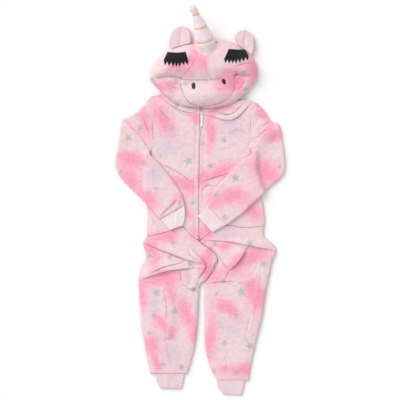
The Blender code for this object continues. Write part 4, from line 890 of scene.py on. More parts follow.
def dyed(obj):
    """Write the dye and the nearest printed star into the mesh, worked out from where each point lies."""
    mesh = obj.data
    co = np.zeros(len(mesh.vertices) * 3)
    mesh.vertices.foreach_get("co", co)
    co = co.reshape(-1, 3) / MM
    normal = np.zeros(len(mesh.vertices) * 3)
    mesh.vertex_normals.foreach_get("vector", normal)
    hidden = normal.reshape(-1, 3)[:, 2] < HIDDEN_SLOPE
    x = co[:, 0] + np.where(hidden, HIDDEN_SHIFT[0], 0)
    y = co[:, 1] + np.where(hidden, HIDDEN_SHIFT[1], 0)
    warp_x, warp_y = x, y
    for warp in DYE_WARPS:
        warp_x = warp_x + warp.distance * cloudy(x, y, warp.size, warp.seed_x)
        warp_y = warp_y + warp.distance * cloudy(x, y, warp.size, warp.seed_y)
    dye = mesh.attributes.new("dye", "FLOAT_COLOR", "POINT")
    amounts = np.ones((len(x), 4))
    for channel, table in enumerate((PINK_DYE, LILAC_DYE, CREAM_DYE)):
        amounts[:, channel] = spread(table, warp_x, warp_y)
    dye.data.foreach_set("color", amounts.ravel())
    star = mesh.attributes.new("star", "FLOAT_VECTOR", "POINT")
    star.data.foreach_set("vector", nearest_star(x, y).ravel())


def spread(table, x, y):
    """How much of a dye has soaked in at each point, from 0 to 1."""
    clear = np.ones(np.shape(x))
    for blotch in table:
        turn = math.radians(blotch.turn)
        dx, dy = x - blotch.x, y - blotch.y
        u = (dx * math.cos(turn) + dy * math.sin(turn)) / (blotch.long + SOAK)
        v = (dy * math.cos(turn) - dx * math.sin(turn)) / (blotch.short + SOAK)
        clear = clear * (1 - blotch.strength * np.exp(-SOAK_FALL * (u * u + v * v) ** SOAK_POWER))
    return 1 - clear


def nearest_star(x, y):
    """Place within the nearest printed star, in its own radii, and how near that star is."""
    best = np.full(np.shape(x), np.inf)
    place = np.zeros((len(x), 3))
    for star in PRINTED_STARS:
        turn = math.radians(star.turn)
        dx, dy = (x - star.x) / star.radius, (y - star.y) / star.radius
        away = np.hypot(dx, dy)
        closer = away < best
        best[closer] = away[closer]
        place[closer, 0] = (dx * math.cos(turn) + dy * math.sin(turn))[closer]
        place[closer, 1] = (dy * math.cos(turn) - dx * math.sin(turn))[closer]
    place[:, 2] = before(best, *STAR_FADE)
    return place


def linear(hex_colour):
    """A colour written as a web colour, as the linear values that shaders take."""
    parts = [int(hex_colour[i:i + 2], 16) / 255 for i in (1, 3, 5)]
    return tuple(c / 12.92 if c <= 0.04045 else ((c + 0.055) / 1.055) ** 2.4 for c in parts) + (1.0,)


class Nodes:
    """A material's nodes, made and joined in short calls."""

    def __init__(self, name, roughness, **sockets):
        self.name = name
        self.material = bpy.data.materials.new(name + "_look")
        self.material.use_nodes = True
        self.tree = self.material.node_tree
        self.shader = self.tree.nodes["Principled BSDF"]
        self.set(self.shader, Roughness=roughness, **sockets)
        self.place = self.add("TexCoord").outputs["Object"]

    def give(self, socket, value):
        """Join a socket to another one, or set its value."""
        if isinstance(value, bpy.types.NodeSocket):
            self.tree.links.new(value, socket)
        else:
            socket.default_value = value

    def set(self, node, **sockets):
        """Give a node's sockets, by name."""
        for name, value in sockets.items():
            self.give(node.inputs[name.replace("_", " ")], value)

    def add(self, kind, **sockets):
        """A new node with its sockets given."""
        node = self.tree.nodes.new("ShaderNode" + kind)
        self.set(node, **sockets)
        return node

    def attribute(self, name):
        """What is written in the mesh under a name."""
        node = self.add("Attribute")
        node.attribute_name = name
        return node.outputs

    def noise(self, name):
        """Noise in space, from its row in the table."""
        scale, detail, rough = NOISES[name]
        node = self.add("TexNoise", Vector=self.place, Scale=scale, Detail=detail, Roughness=rough)
        return node.outputs["Factor"] if "Factor" in node.outputs else node.outputs["Fac"]

    def math(self, operation, a, b=0.0):
        """One sum of two amounts."""
        node = self.add("Math")
        node.operation = operation
        self.give(node.inputs[0], a)
        self.give(node.inputs[1], b)
        return node.outputs[0]

    def mix(self, amount, a, b, blend="MIX"):
        """Colour a turned towards colour b by an amount."""
        node = self.add("Mix")
        node.data_type = "RGBA"
        node.blend_type = blend
        for index, value in ((0, amount), (6, a), (7, b)):
            self.give(node.inputs[index], value)
        return node.outputs[2]

    def between(self, amount):
        """The material's first shade turned towards its second by an amount."""
        return self.mix(amount, *(linear(shade) for shade in SHADES[self.name]))

    def ramp(self, amount, low, high):
        """An amount stretched so that low becomes 0 and high becomes 1."""
        node = self.add("MapRange", Value=amount, From_Min=low, From_Max=high)
        node.interpolation_type = "SMOOTHSTEP"
        return node.outputs["Result"]

    def bump(self, *layers):
        """Raise the surface by layers of (height from 0 to 1, distance in metres)."""
        below = None
        for height, distance in layers:
            node = self.add("Bump", Strength=1.0, Distance=distance, Height=height)
            if below is not None:
                self.tree.links.new(below, node.inputs["Normal"])
            below = node.outputs["Normal"]
        self.set(self.shader, Normal=below)

    def colour(self, socket):
        """The finished material, with this as its colour."""
        self.set(self.shader, Base_Color=socket)
        return self.material


def pile(nodes, base, depth=1.0):
    """Short plush pile on a colour: tufts and matted patches, with shade painted in the low places between
    them.
    """
    tufts, matted = nodes.noise("tufts"), nodes.noise("matted")
    shade = nodes.math("MULTIPLY", nodes.math("ADD", tufts, matted), 0.5)
    shaded = nodes.mix(nodes.ramp(shade, low=0.62, high=0.34), base, PAINTED_PILE_SHADE, "MULTIPLY")
    nodes.bump((matted, 0.0016 * depth), (tufts, 0.0007 * depth))
    return nodes.colour(shaded)


def printed_fleece():
    """Plush fleece, tie-dyed pink and lilac on pale pink and cream, and printed with grey stars.

    Pinker shade is painted into its creases and along its seams and rims.
    """
    nodes = Nodes("printed_fleece", roughness=0.92, Sheen_Weight=0.18, Sheen_Roughness=0.6)
    amount = nodes.add("SeparateColor", Color=nodes.attribute("dye")["Color"]).outputs
    grain = nodes.math("MULTIPLY", nodes.math("SUBTRACT", nodes.noise("grain"), 0.5), 0.35)
    pink = nodes.math("ADD", amount["Red"], nodes.math("MULTIPLY", grain, amount["Red"]))
    cloud = nodes.ramp(nodes.noise("print clouds"), low=0.36, high=0.66)
    cream = nodes.math("MAXIMUM", amount["Blue"], nodes.math("MULTIPLY", cloud, 0.45))
    base = nodes.mix(cream, linear(BLUSH), linear(CREAM))
    base = nodes.mix(nodes.math("MULTIPLY", amount["Green"], 0.85), base, linear(LILAC))
    base = nodes.mix(nodes.ramp(pink, low=0.02, high=0.55), base, linear(PALE_PINK))
    base = nodes.mix(nodes.ramp(pink, low=0.35, high=0.98), base, linear(PINK))
    base = nodes.mix(star_mask(nodes), base, linear(STAR_GREY))
    # painted shade: pink mixed in where the mesh marks creases, seams and rims
    painted_shade = nodes.math("MULTIPLY", nodes.attribute("painted_shade")["Fac"], 0.42)
    return pile(nodes, nodes.mix(painted_shade, base, linear(PAINTED_SHADE_PINK)))


def star_mask(nodes):
    """1 inside a five-pointed star and 0 outside it, from the place written in the mesh."""
    place = nodes.add("SeparateXYZ", Vector=nodes.attribute("star")["Vector"]).outputs
    squares = [nodes.math("POWER", place[axis], 2.0) for axis in ("X", "Y")]
    radius = nodes.math("SQRT", nodes.math("ADD", *squares))
    angle = nodes.math("ARCTAN2", place["X"], place["Y"])
    tenth = math.pi / 5
    turned = nodes.math("PINGPONG", angle, tenth)
    slope = math.atan2(1 - STAR_NOTCH * math.cos(tenth), STAR_NOTCH * math.sin(tenth))
    away = nodes.math("MULTIPLY", radius, nodes.math("COSINE", nodes.math("SUBTRACT", turned, slope)))
    ragged = nodes.math("MULTIPLY", nodes.math("SUBTRACT", nodes.noise("ragged"), 0.5), RAGGED)
    edge = math.cos(slope)
    inside = nodes.ramp(nodes.math("ADD", away, ragged), low=edge + STAR_EDGE[0], high=edge - STAR_EDGE[1])
    return nodes.math("MULTIPLY", nodes.math("MULTIPLY", inside, place["Z"]), STAR_STRENGTH)


def plain_plush():
    """Plain plush, as inside the ears."""
    nodes = Nodes("plain_plush", roughness=0.92, Sheen_Weight=0.18, Sheen_Roughness=0.6)
    return pile(nodes, nodes.between(nodes.ramp(nodes.noise("plush clouds"), low=0.35, high=0.7)))


def horn_plush():
    """Short velour, with less pile than the fleece."""
    nodes = Nodes("horn_plush", roughness=0.8, Sheen_Weight=0.25, Sheen_Roughness=0.5)
    return pile(nodes, nodes.between(nodes.ramp(nodes.noise("horn clouds"), low=0.38, high=0.62)), 0.6)


def rib_knit(name):
    """Fine rib jersey: the ribs are in the mesh, and the stitches are small bumps along them, with shade
    painted where they lie low.
    """
    nodes = Nodes(name, roughness=0.9, Sheen_Weight=0.1, Sheen_Roughness=0.6)
    base = nodes.between(nodes.ramp(nodes.noise("rib clouds"), low=0.35, high=0.7))
    stitches = nodes.noise("knit")
    shaded = nodes.mix(nodes.ramp(stitches, low=0.62, high=0.36), base, PAINTED_KNIT_SHADE, "MULTIPLY")
    nodes.bump((nodes.noise("knit lumps"), 0.0005), (stitches, 0.00035))
    return nodes.colour(shaded)


def black_felt():
    """Matt felt, with painted highlight where its fibres stand up and painted shade between them."""
    nodes = Nodes("black_felt", roughness=0.95, Sheen_Weight=0.03, Sheen_Roughness=0.7)
    fibres = nodes.noise("fibres")
    nodes.bump((fibres, 0.0005))
    return nodes.colour(nodes.between(nodes.ramp(fibres, low=0.35, high=0.75)))


def thread(name, roughness):
    """Twisted thread, in two shades of its colour: a painted highlight where the twist stands up, painted
    shade between.
    """
    nodes = Nodes(name, roughness)
    twist = nodes.noise("twist")
    nodes.bump((twist, 0.0003))
    return nodes.colour(nodes.between(nodes.ramp(twist, low=0.35, high=0.65)))


def woven_tape():
    """Zip tape: a close herringbone weave, with painted highlight on its raised bands and painted shade
    between them.
    """
    nodes = Nodes("zip_tape", roughness=0.8)
    weave = nodes.add("TexWave", Vector=nodes.place, Scale=WEAVE_SCALE, Distortion=1.0, Detail=1.0)
    weave.wave_type = "BANDS"
    weave.bands_direction = "DIAGONAL"
    lines = weave.outputs["Fac"] if "Fac" in weave.outputs else weave.outputs["Factor"]
    nodes.bump((lines, 0.0002))
    return nodes.colour(nodes.between(lines))


def enamel():
    """White enamel on the metal of the slider and its tab, dulled and a little chipped by handling."""
    nodes = Nodes("zip_metal", roughness=0.3, Coat_Weight=0.3, Coat_Roughness=0.15)
    worn = nodes.ramp(nodes.noise("fibres"), low=0.70, high=0.80)
    nodes.set(nodes.shader, Roughness=nodes.ramp(nodes.noise("dull"), low=0.0, high=2.2))
    nodes.set(nodes.shader, Metallic=nodes.math("MULTIPLY", worn, 0.8))
    nodes.bump((nodes.noise("dents"), 0.00008))
    return nodes.colour(nodes.between(worn))


def moulded_teeth():
    """Moulded nylon, with painted highlight where its small dents stand up and painted shade where they sink.
    """
    nodes = Nodes("zip_teeth", roughness=0.45)
    shade = nodes.noise("moulded")
    nodes.bump((shade, 0.0001))
    return nodes.colour(nodes.between(shade))


def floor_paper():
    """Even white paper."""
    nodes = Nodes("floor", roughness=0.9)
    return nodes.colour(nodes.mix(nodes.noise("floor"), *FLOOR_SHADES))


def studio():
    """A pale floor, soft light from all round and more from the upper left, and the camera straight above."""
    scene = bpy.context.scene
    bm = bmesh.new()
    bmesh.ops.create_grid(bm, x_segments=2, y_segments=2, size=FLOOR_HALF)
    mesh = finished(bm, STAGE_FLOOR)
    ground = bpy.data.objects.new(STAGE_FLOOR, mesh)
    scene.collection.objects.link(ground)
    ground.location.z = -FLOOR_BELOW
    mesh.materials.append(floor_paper())

    scene.world = bpy.data.worlds.new("studio_light")
    scene.world.use_nodes = True
    sky = scene.world.node_tree.nodes["Background"].inputs
    sky["Color"].default_value = SKY_COLOUR
    sky["Strength"].default_value = SKY_STRENGTH
    for lamp in LAMPS:
        light = bpy.data.lights.new(lamp.name, "SUN")
        light.angle = math.radians(lamp.spread)
        light.energy = lamp.strength
        holder = bpy.data.objects.new(lamp.name, light)
        holder.location = Vector(lamp.way) * LAMPS_AWAY
        holder.rotation_euler = (-Vector(lamp.way)).to_track_quat("-Z", "Y").to_euler()
        scene.collection.objects.link(holder)

    camera = bpy.data.cameras.new("camera")
    camera.sensor_width = SENSOR
    camera.lens = SENSOR * EYE[2] / VIEW_WIDTH
    camera.clip_end = VIEW_END
    scene.camera = bpy.data.objects.new("camera", camera)
    scene.camera.location = EYE
    scene.collection.objects.link(scene.camera)
    scene.view_settings.view_transform = "Standard"
    scene.view_settings.look = "None"


def flat_panel(name, sides, height, step=STEP):
    """A panel between four curves whose outer side has the height given at each x, y."""
    left, right, bottom, top = sides
    span = np.linalg.norm(np.subtract(curve(right, 0.5)[0], curve(left, 0.5)[0]))
    reach = np.linalg.norm(np.subtract(curve(top, 0.5)[0], curve(bottom, 0.5)[0]))
    gap_across, gap_along = SEAM / 2 / span, SEAM / 2 / reach
    across = gap_across + (1 - 2 * gap_across) * spaced(span, step)
    along = gap_along + (1 - 2 * gap_along) * spaced(reach, step)
    x, y = patch(left, right, bottom, top, across, along)
    t, s = np.meshgrid(across, along, indexing="ij")
    outer, inner = height(x, y, t, s)
    return skin(name, outer, inner)


def level(x, y, z):
    """Points at each x, y with a height."""
    return np.stack([x, y, np.broadcast_to(z, np.shape(x))], axis=-1)


def front_height(left, right, fold_table, crease_table, round_left, round_right, calm, stitches=None):
    """Outer and inner side of a front panel: rounded down to the side seams, level at a free edge.

    calm is how much of its folds the cloth keeps at each place, and stitches how deep its stitching is.
    """
    def height(x, y, t, s):
        width = np.linalg.norm(curve(right, s.ravel()) - curve(left, s.ravel()), axis=1).reshape(s.shape)
        rise = np.ones(s.shape)
        armhole = past(y, *ARMHOLE_AT)
        if round_left:
            rise = rise * np.maximum(rounded(t * width, EDGE), armhole)
        if round_right:
            rise = rise * np.maximum(rounded((1 - t) * width, EDGE), armhole)
        lift = folds(fold_table, x, y) - creases(crease_table, x, y) + lumps(x, y)
        lift = lift * calm(x, y)
        if stitches is not None:
            lift = lift - stitches(x, y)
        under = FRONT_LOW + np.maximum(LOFT * rise + lift * rise, 0)
        length = np.linalg.norm(np.subtract(left[-1], left[0]))
        inside = np.minimum(np.minimum(t, 1 - t) * width, np.minimum(s, 1 - s) * length)
        held = smooth(inside / SEAM_HOLD) * calm(x, y)
        move_x, move_y = laps(fold_table, x, y)
        x, y = x + move_x * held, y + move_y * held
        return level(x, y, under + CLOTH), level(x, y, under)
    return height


def zip_edge(side):
    """The front edge beside the zip: open round the slider at the top, closed over the teeth lower down."""
    line = curve(ZIP_LINE, np.linspace(0, 1, SEAM_POINTS))
    offset = ZIP_SHUT + (ZIP_OPEN - ZIP_SHUT) * past(line[:, 1], *ZIP_OPENS_AT)
    return [(x + side * o, y) for (x, y), o in zip(line, offset)]


def up(line):
    """A line that is listed from the head down, from its lower end up."""
    return list(reversed(line))


def zip_stitching(x, y):
    """The furrow of the topstitching beside the zip, deeper on its left."""
    distance, side, _ = near(ZIP_LINE, x, y)
    depth, half_width = STITCH_FURROW
    furrow = depth * bell(distance - np.where(side < 0, *STITCH_LINES), half_width)
    return furrow * np.where(side < 0, 1, STITCH_RIGHT_SHARE)


def bodies(fleece):
    """The backs, flat on the floor, and the fronts that lie on them."""
    def flat(x, y, t, s):
        return level(x, y, BACK_TOP), level(x, y, np.clip(np.abs(folds(BACK_FOLDS, x, y)), 0, DENT_MOST))

    def under_sleeves(x, y):
        return 1 - before(y, *BELLY_AT)

    def below_cuffs(x, y):
        return before(y, *HIPS_AT)

    waist_left = [tuple(p) for p in curve(WAIST_LEFT, np.linspace(0, 1, WAIST_POINTS))]
    waist_right = [tuple(p) for p in curve(WAIST_RIGHT, np.linspace(0, 1, WAIST_POINTS))]
    lower_left = CROTCH_LEFT + [p for p in LEG_LEFT_INNER if p[1] < CROTCH_LEFT[-1][1]]
    lower_right = CROTCH_RIGHT + [p for p in LEG_RIGHT_INNER if p[1] < CROTCH_RIGHT[-1][1]]
    backs = {
        "torso_back": [SIDE_LEFT, SIDE_RIGHT, waist_left + waist_right[1:], NECK_LEFT + NECK_RIGHT[1:]],
        "leg_back_left": [LEG_LEFT_OUTER, lower_left, [LEG_LEFT_OUTER[-1], lower_left[-1]],
                          [(x, y - BACK_WAIST_SEAM) for x, y in waist_left]],
        "leg_back_right": [lower_right, LEG_RIGHT_OUTER, [lower_right[-1], LEG_RIGHT_OUTER[-1]],
                           [(x, y - BACK_WAIST_SEAM) for x, y in waist_right]],
    }
    for name, (left, right, bottom, top) in backs.items():
        panel = flat_panel(name, [up(left), up(right), bottom, top], flat, COARSE)
        sewn(name, panel, fleece, "printed_fleece")

    left_zip, right_zip = zip_edge(-1), zip_edge(1)
    low_left = [p for p in waist_left if p[0] < left_zip[-1][0] - ZIP_FOOT]
    low_right = [p for p in waist_right if p[0] > right_zip[-1][0] + ZIP_FOOT]
    left = [up(SIDE_LEFT), up(left_zip), low_left + [left_zip[-1]], NECK_LEFT[:-1] + [left_zip[0]]]
    right = [up(right_zip), up(SIDE_RIGHT), [right_zip[-1]] + low_right, [right_zip[0]] + NECK_RIGHT[1:]]
    heights = {
        "front_left": (left, front_height(left[0], left[1], FRONT_LEFT_FOLDS, BODY_CREASES, True, False,
                                          under_sleeves, zip_stitching)),
        "front_right": (right, front_height(right[0], right[1], FRONT_RIGHT_FOLDS, BODY_CREASES, False, True,
                                            under_sleeves, zip_stitching)),
    }
    legs = (
        ("leg_front_left", LEG_LEFT_OUTER, LEG_LEFT_INNER, waist_left, LEG_LEFT_FOLDS, -1, -ZIP_FOOT),
        ("leg_front_right", LEG_RIGHT_INNER, LEG_RIGHT_OUTER, waist_right, LEG_RIGHT_FOLDS, 0, ZIP_FOOT),
    )
    for name, low_x, high_x, line, table, crotch, shift in legs:
        top = [(x, y - WAIST_SEAM) for x, y in line]
        top[crotch] = (top[crotch][0] + shift, top[crotch][1])
        low_x, high_x = [top[0]] + low_x[1:], [top[-1]] + high_x[1:]
        sides = [up(low_x), up(high_x), [low_x[-1], high_x[-1]], top]
        heights[name] = (sides, front_height(sides[0], sides[1], table, LEG_CREASES, True, True, below_cuffs))
    for name, (sides, height) in heights.items():
        sewn(name, flat_panel(name, sides, height), fleece, "printed_fleece")


def ring(side_steps, top_steps, bottom_steps):
    """A flattened ring: for each point its end, its angle or share across, and whether it is on top."""
    turns = [math.pi * (k / side_steps - 0.5) for k in range(side_steps + 1)]
    points = [("start", a, True) for a in turns]
    points += [("flat", k / top_steps, True) for k in range(1, top_steps)]
    points += [("end", a, True) for a in reversed(turns)]
    points += [("flat", k / bottom_steps, False) for k in range(bottom_steps - 1, 0, -1)]
    return points


def tube(name, sections, height, support, fold_table, steps, wall, ribs=0):
    """A flattened tube of cloth through a table of sections, resting on a surface, ribbed or with folds."""
    side_steps, top_steps, bottom_steps, along_steps = steps
    middle = rows(sections, np.linspace(0, 1, TUBE_POINTS))[:, :2]
    length = np.linalg.norm(np.diff(middle, axis=0), axis=1).sum()
    table = rows(sections, spaced(length, length / along_steps))
    template = ring(side_steps, top_steps, bottom_steps)
    half = height / 2
    grids = []
    for thin in (0.0, wall):
        keep = (half - thin) / half
        grid = np.zeros((len(template), len(table), 3))
        upper = np.zeros(grid.shape[:2])
        for j, (outer_x, outer_y, inner_x, inner_y) in enumerate(table):
            outer, inner = np.array([outer_x, outer_y]), np.array([inner_x, inner_y])
            width = np.linalg.norm(inner - outer)
            for i, (place, value, on_top) in enumerate(template):
                if place == "flat":
                    inset = half + value * (width - 2 * half)
                    rise = half * keep
                    if ribs:
                        ridge = 0 if thin else RIB_DEPTH * (1 + math.cos(2 * math.pi * ribs * value)) / 2
                        rise = rise - RIB_DEPTH + ridge
                    z = half + rise if on_top else half - rise
                else:
                    bulge = half * (1 - keep * math.cos(value))
                    inset = bulge if place == "start" else width - bulge
                    z = half * (1 + keep * math.sin(value))
                grid[i, j, :2] = outer + inset / width * (inner - outer)
                grid[i, j, 2] = z
                upper[i, j] = smooth((z - half) / (half * keep))
        x, y = grid[..., 0], grid[..., 1]
        lift = folds(fold_table, x, y)
        if not ribs:
            lift = lift - creases(SLEEVE_CREASES, x, y) + lumps(x, y)
        grid[..., 2] += support(x, y) + lift * upper
        if not ribs:
            number = np.arange(len(table))
            held = upper * smooth(np.minimum(number, number[::-1]) / END_ROWS)
            move_x, move_y = laps(fold_table, x, y)
            grid[..., 0] += move_x * held
            grid[..., 1] += move_y * held
        grids.append(grid)
    return skin(name, grids[0], grids[1], closed=True)


def no_floor(x, y):
    """What lies straight on the floor has nothing under it."""
    return np.zeros(np.shape(x))


def limbs(fleece, cuff_knit, ankle_knit):
    """Sleeves folded at the elbow, and the ribbed cuffs of the sleeves and ankles."""
    def climb(x, y):
        return body_support(x, y) * before(y, *ELBOW_AT)

    def on_body(x, y):
        return np.full(np.shape(x), SLEEVE_REST)

    for name, sections, table in (("sleeve_left", SLEEVE_LEFT, SLEEVE_LEFT_FOLDS),
                                  ("sleeve_right", SLEEVE_RIGHT, SLEEVE_RIGHT_FOLDS)):
        mesh = tube(name, sections, LIMB, climb, table, SLEEVE_STEPS, TUBE_WALL)
        sewn(name, mesh, fleece, "printed_fleece")
    cuffs = (
        ("cuff_left", CUFF_LEFT, on_body, LEFT_CUFF_FOLDS, 22, cuff_knit),
        ("cuff_right", CUFF_RIGHT, on_body, [], 22, cuff_knit),
        ("ankle_cuff_left", ANKLE_LEFT, no_floor, LEFT_ANKLE_FOLDS, 26, ankle_knit),
        ("ankle_cuff_right", ANKLE_RIGHT, no_floor, [], 24, ankle_knit),
    )
    side_steps, rib_steps, along_steps = CUFF_STEPS
    for name, sections, support, table, ribs, knit in cuffs:
        steps = (side_steps, ribs * rib_steps, ribs * rib_steps, along_steps)
        sewn(name, tube(name, sections, CUFF, support, table, steps, RIB, ribs), knit, "cuff_rib")


def hood_panel(name, sections):
    """One side of the hood, round the face opening from the horn's foot to the top of the zip."""
    table = rows(sections, np.linspace(0, 1, HOOD_SIDE_STEPS[name] + 1))
    share = np.linspace(0, 1, HOOD_ACROSS) ** HOOD_CROWDING
    outer, inner = table[:, :2], table[:, 2:]
    rim = HOOD_RIM / np.hypot(*(inner - outer).T)
    across = rim + (1 - rim) * share[:, None]
    x, y = (outer[:, axis] + across * (inner - outer)[:, axis] for axis in (0, 1))
    return skin(name, raised(hood_height, x, y, CLOTH), level(x, y, hood_height(x, y)))


def disc(share):
    """A square grid of shares from -1 to 1, drawn in to a round one."""
    u, v = np.meshgrid(share, share, indexing="ij")
    return u * np.sqrt(1 - v**2 / 2), v * np.sqrt(1 - u**2 / 2)


def hood(fleece):
    """The hood on its back: back panel, two sides, bridge, muzzle and lining."""
    u, v = disc(spaced(HOOD_BACK_SPAN, HOOD_BACK_STEP) * 2 - 1)
    turn = np.arctan2(v, u)
    reach = hood_radius(turn) * np.hypot(u, v)
    x = HOOD_CENTRE[0] + reach * np.cos(turn)
    y = HOOD_CENTRE[1] + reach * np.sin(turn)
    seam = NECK_SEAM
    y = np.maximum(y, seam.height + seam.slope_x * (x - seam.x) + seam.slope_y * (y - seam.y))
    dents = np.clip(np.abs(folds(BACK_FOLDS, x, y)), 0, DENT_MOST)
    bridge = [up(BRIDGE_LEFT), up(BRIDGE_RIGHT), [BRIDGE_LEFT[-1], (-10, 312), BRIDGE_RIGHT[-1]],
              [BRIDGE_LEFT[0], BRIDGE_RIGHT[0]]]
    muzzle = [MUZZLE_LEFT, MUZZLE_RIGHT, MUZZLE_BOTTOM, MUZZLE_TOP]

    def on_hood(x, y, t, s):
        return raised(hood_height, x, y, CLOTH), level(x, y, hood_height(x, y))

    def on_padding(x, y, t, s):
        return raised(muzzle_height, x, y, CLOTH), level(x, y, muzzle_height(x, y))

    meshes = {
        "hood_back": skin("hood_back", level(x, y, BACK_TOP), level(x, y, dents)),
        "hood_side_left": hood_panel("hood_side_left", HOOD_LEFT),
        "hood_side_right": hood_panel("hood_side_right", HOOD_RIGHT),
        "hood_bridge": flat_panel("hood_bridge", bridge, on_hood),
        "muzzle": flat_panel("muzzle", muzzle, on_padding),
        "hood_core": lining(reach, turn),
    }
    for name, mesh in meshes.items():
        sewn(name, mesh, fleece, "printed_fleece")


def lining(reach, turn):
    """The hood's folded-in edges and lining, just under its upper panels and inside its outline."""
    x = HOOD_CENTRE[0] + LINING_SHARE * reach * np.cos(turn)
    y = HOOD_CENTRE[1] + LINING_SHARE * reach * np.sin(turn)
    z = hood_height(x, y)
    return skin("hood_lining", level(x, y, z - LINING[0]), level(x, y, z - LINING[1]))


def horn_place():
    """From the horn's own frame, with its axis along Z, to the floor's."""
    lean = Matrix.Rotation(math.radians(HORN_LEAN), 4, "Z")
    tilt = Matrix.Rotation(math.radians(HORN_TILT - 90), 4, "X")
    return Matrix.Translation(Vector(HORN_BASE)) @ (lean @ tilt)


def bent(points, along):
    """Points of the horn, moved over as its tip droops to one side; along is their distance from its base."""
    droop = np.maximum(along - HORN_BEND_FROM, 0) ** 2
    return points + np.stack([HORN_BEND[0] * droop, HORN_BEND[1] * droop, np.zeros(len(points))], axis=1)


def horn(plush, gold, fleece):
    """The stuffed horn, drawn in by three windings of gold thread, with its foot sewn to the hood."""
    profile = curve(HORN_PROFILE, np.linspace(0, 1, HORN_POINTS))
    place = np.array(horn_place())
    turns = np.linspace(0, 2 * math.pi, HORN_SIDES, endpoint=False)
    grid = np.zeros((HORN_SIDES, HORN_ROWS, 3))
    far, size, seed = HORN_CLOUD
    for k, turn in enumerate(turns):
        uneven = cloudy(far * math.cos(turn) + profile[:, 0], far * math.sin(turn), size, seed)
        radius = np.maximum(profile[:, 1], HORN_TIP) * (1 + HORN_UNEVEN * uneven)
        line = np.stack([radius * math.cos(turn), radius * math.sin(turn), profile[:, 0]], axis=1)
        line = bent(line @ place[:3, :3].T + place[:3, 3], profile[:, 0])
        clear = line[:, 2] - raised(hood_height, line[:, 0], line[:, 1], CLOTH + HORN_CLEAR)[:, 2]
        foot = np.flatnonzero(clear < 0).max(initial=-1) + 1
        picks = np.linspace(foot, len(profile) - 1, HORN_ROWS)
        shown = [np.interp(picks, np.arange(len(profile)), line[:, axis]) for axis in range(3)]
        grid[k] = np.stack(shown, axis=1)
    index = np.arange(HORN_SIDES * HORN_ROWS).reshape(HORN_SIDES, HORN_ROWS)
    faces = quads(index, True).tolist() + [index[:, 0].tolist(), index[::-1, -1].tolist()]
    mesh = bpy.data.meshes.new("horn")
    mesh.from_pydata((grid.reshape(-1, 3) * MM).tolist(), [], faces)
    outward(mesh)
    stand_in("horn", mesh, plush)

    bm = bmesh.new()
    loop(bm, grid[:, 0] + [0, 0, HORN_CLEAR], FOOT_SEAM)
    piece("horn_foot_seam", finished(bm, "horn_foot_seam"), fleece)
    for number, (z, radius) in enumerate(THREAD_AT, 1):
        bm = bmesh.new()
        wound = radius + THREAD * THREAD_SUNK
        for lap in (-1, 1):
            around = np.stack([wound * np.cos(turns), wound * np.sin(turns),
                               np.full(HORN_SIDES, z + lap * THREAD * THREAD_APART)], axis=1)
            loop(bm, bent(around @ place[:3, :3].T + place[:3, 3], np.full(HORN_SIDES, float(z))), THREAD)
        piece(f"horn_thread_{number}", finished(bm, f"horn_thread_{number}"), gold)


def outward(mesh):
    """Turn all faces of a closed mesh outward."""
    bm = bmesh.new()
    bm.from_mesh(mesh)
    bmesh.ops.recalc_face_normals(bm, faces=bm.faces)
    bm.to_mesh(mesh)
    bm.free()


def finished(bm, name):
    """The mesh of what has been built in bm."""
    mesh = bpy.data.meshes.new(name)
    bmesh.ops.recalc_face_normals(bm, faces=bm.faces)
    bm.to_mesh(mesh)
    bm.free()
    return mesh


def loop(bm, path, thickness):
    """A closed turn of thread or piping along a ring of points."""
    middle = path.mean(axis=0)
    ahead = np.roll(path, -1, axis=0) - np.roll(path, 1, axis=0)
    ahead = ahead / np.linalg.norm(ahead, axis=1)[:, None]
    out = path - middle
    out = out - (out * ahead).sum(axis=1)[:, None] * ahead
    out = out / np.linalg.norm(out, axis=1)[:, None]
    side = np.cross(ahead, out)
    rings = []
    for point, away, beside in zip(path, out, side):
        angles = [2 * math.pi * m / THREAD_SIDES for m in range(THREAD_SIDES)]
        ring_points = [point + thickness * (math.cos(a) * away + math.sin(a) * beside) for a in angles]
        rings.append([bm.verts.new(p * MM) for p in ring_points])
    for k in range(len(rings)):
        for m in range(THREAD_SIDES):
            bm.faces.new((rings[k - 1][m - 1], rings[k][m - 1], rings[k][m], rings[k - 1][m]))


def ears(fleece, plush):
    """Two ears of two layers each, pleated down the middle and lying back behind the crown."""
    across, along = (spaced(size, EAR_STEP) for size in EAR_SIZE)
    layers = (("back", EAR_LOW, 0, fleece, "printed_fleece"),
              ("inner", EAR_LOW + CLOTH + EAR_AIR, EAR_RIM, plush, "plain_plush"))
    for name, outline in (("ear_left", EAR_LEFT), ("ear_right", EAR_RIGHT)):
        left, right = outline["left"], outline["right"]
        length = math.dist(left[0], left[-1])
        for layer, low, inset, material, slot in layers:
            grid = np.zeros((len(across), len(along), 3))
            for j, s in enumerate(along * (1 - 0.5 * inset / length) * EAR_TIP):
                a, b = curve(left, s)[0], curve(right, s)[0]
                width = max(np.linalg.norm(b - a), 1.0)
                edge = min(inset / width, EAR_RIM_MOST)
                share = edge + across * (1 - 2 * edge)
                x, y = a[0] + share * (b[0] - a[0]), a[1] + share * (b[1] - a[1])
                pleat = EAR_PLEAT * bell(across - 0.5, PLEAT_WIDTH) * (1 - s) ** PLEAT_FADE
                dish = EAR_DISH * (2 * across - 1) ** 2 * (1 - s)
                z = low + EAR_RISE * s + dish - pleat + EAR_LUMPS * lumps(x, y)
                grid[:, j] = np.stack([x, y, z], axis=-1)
            node = f"{name}_{layer}"
            sewn(node, skin(node, grid + [0, 0, CLOTH], grid), material, slot)


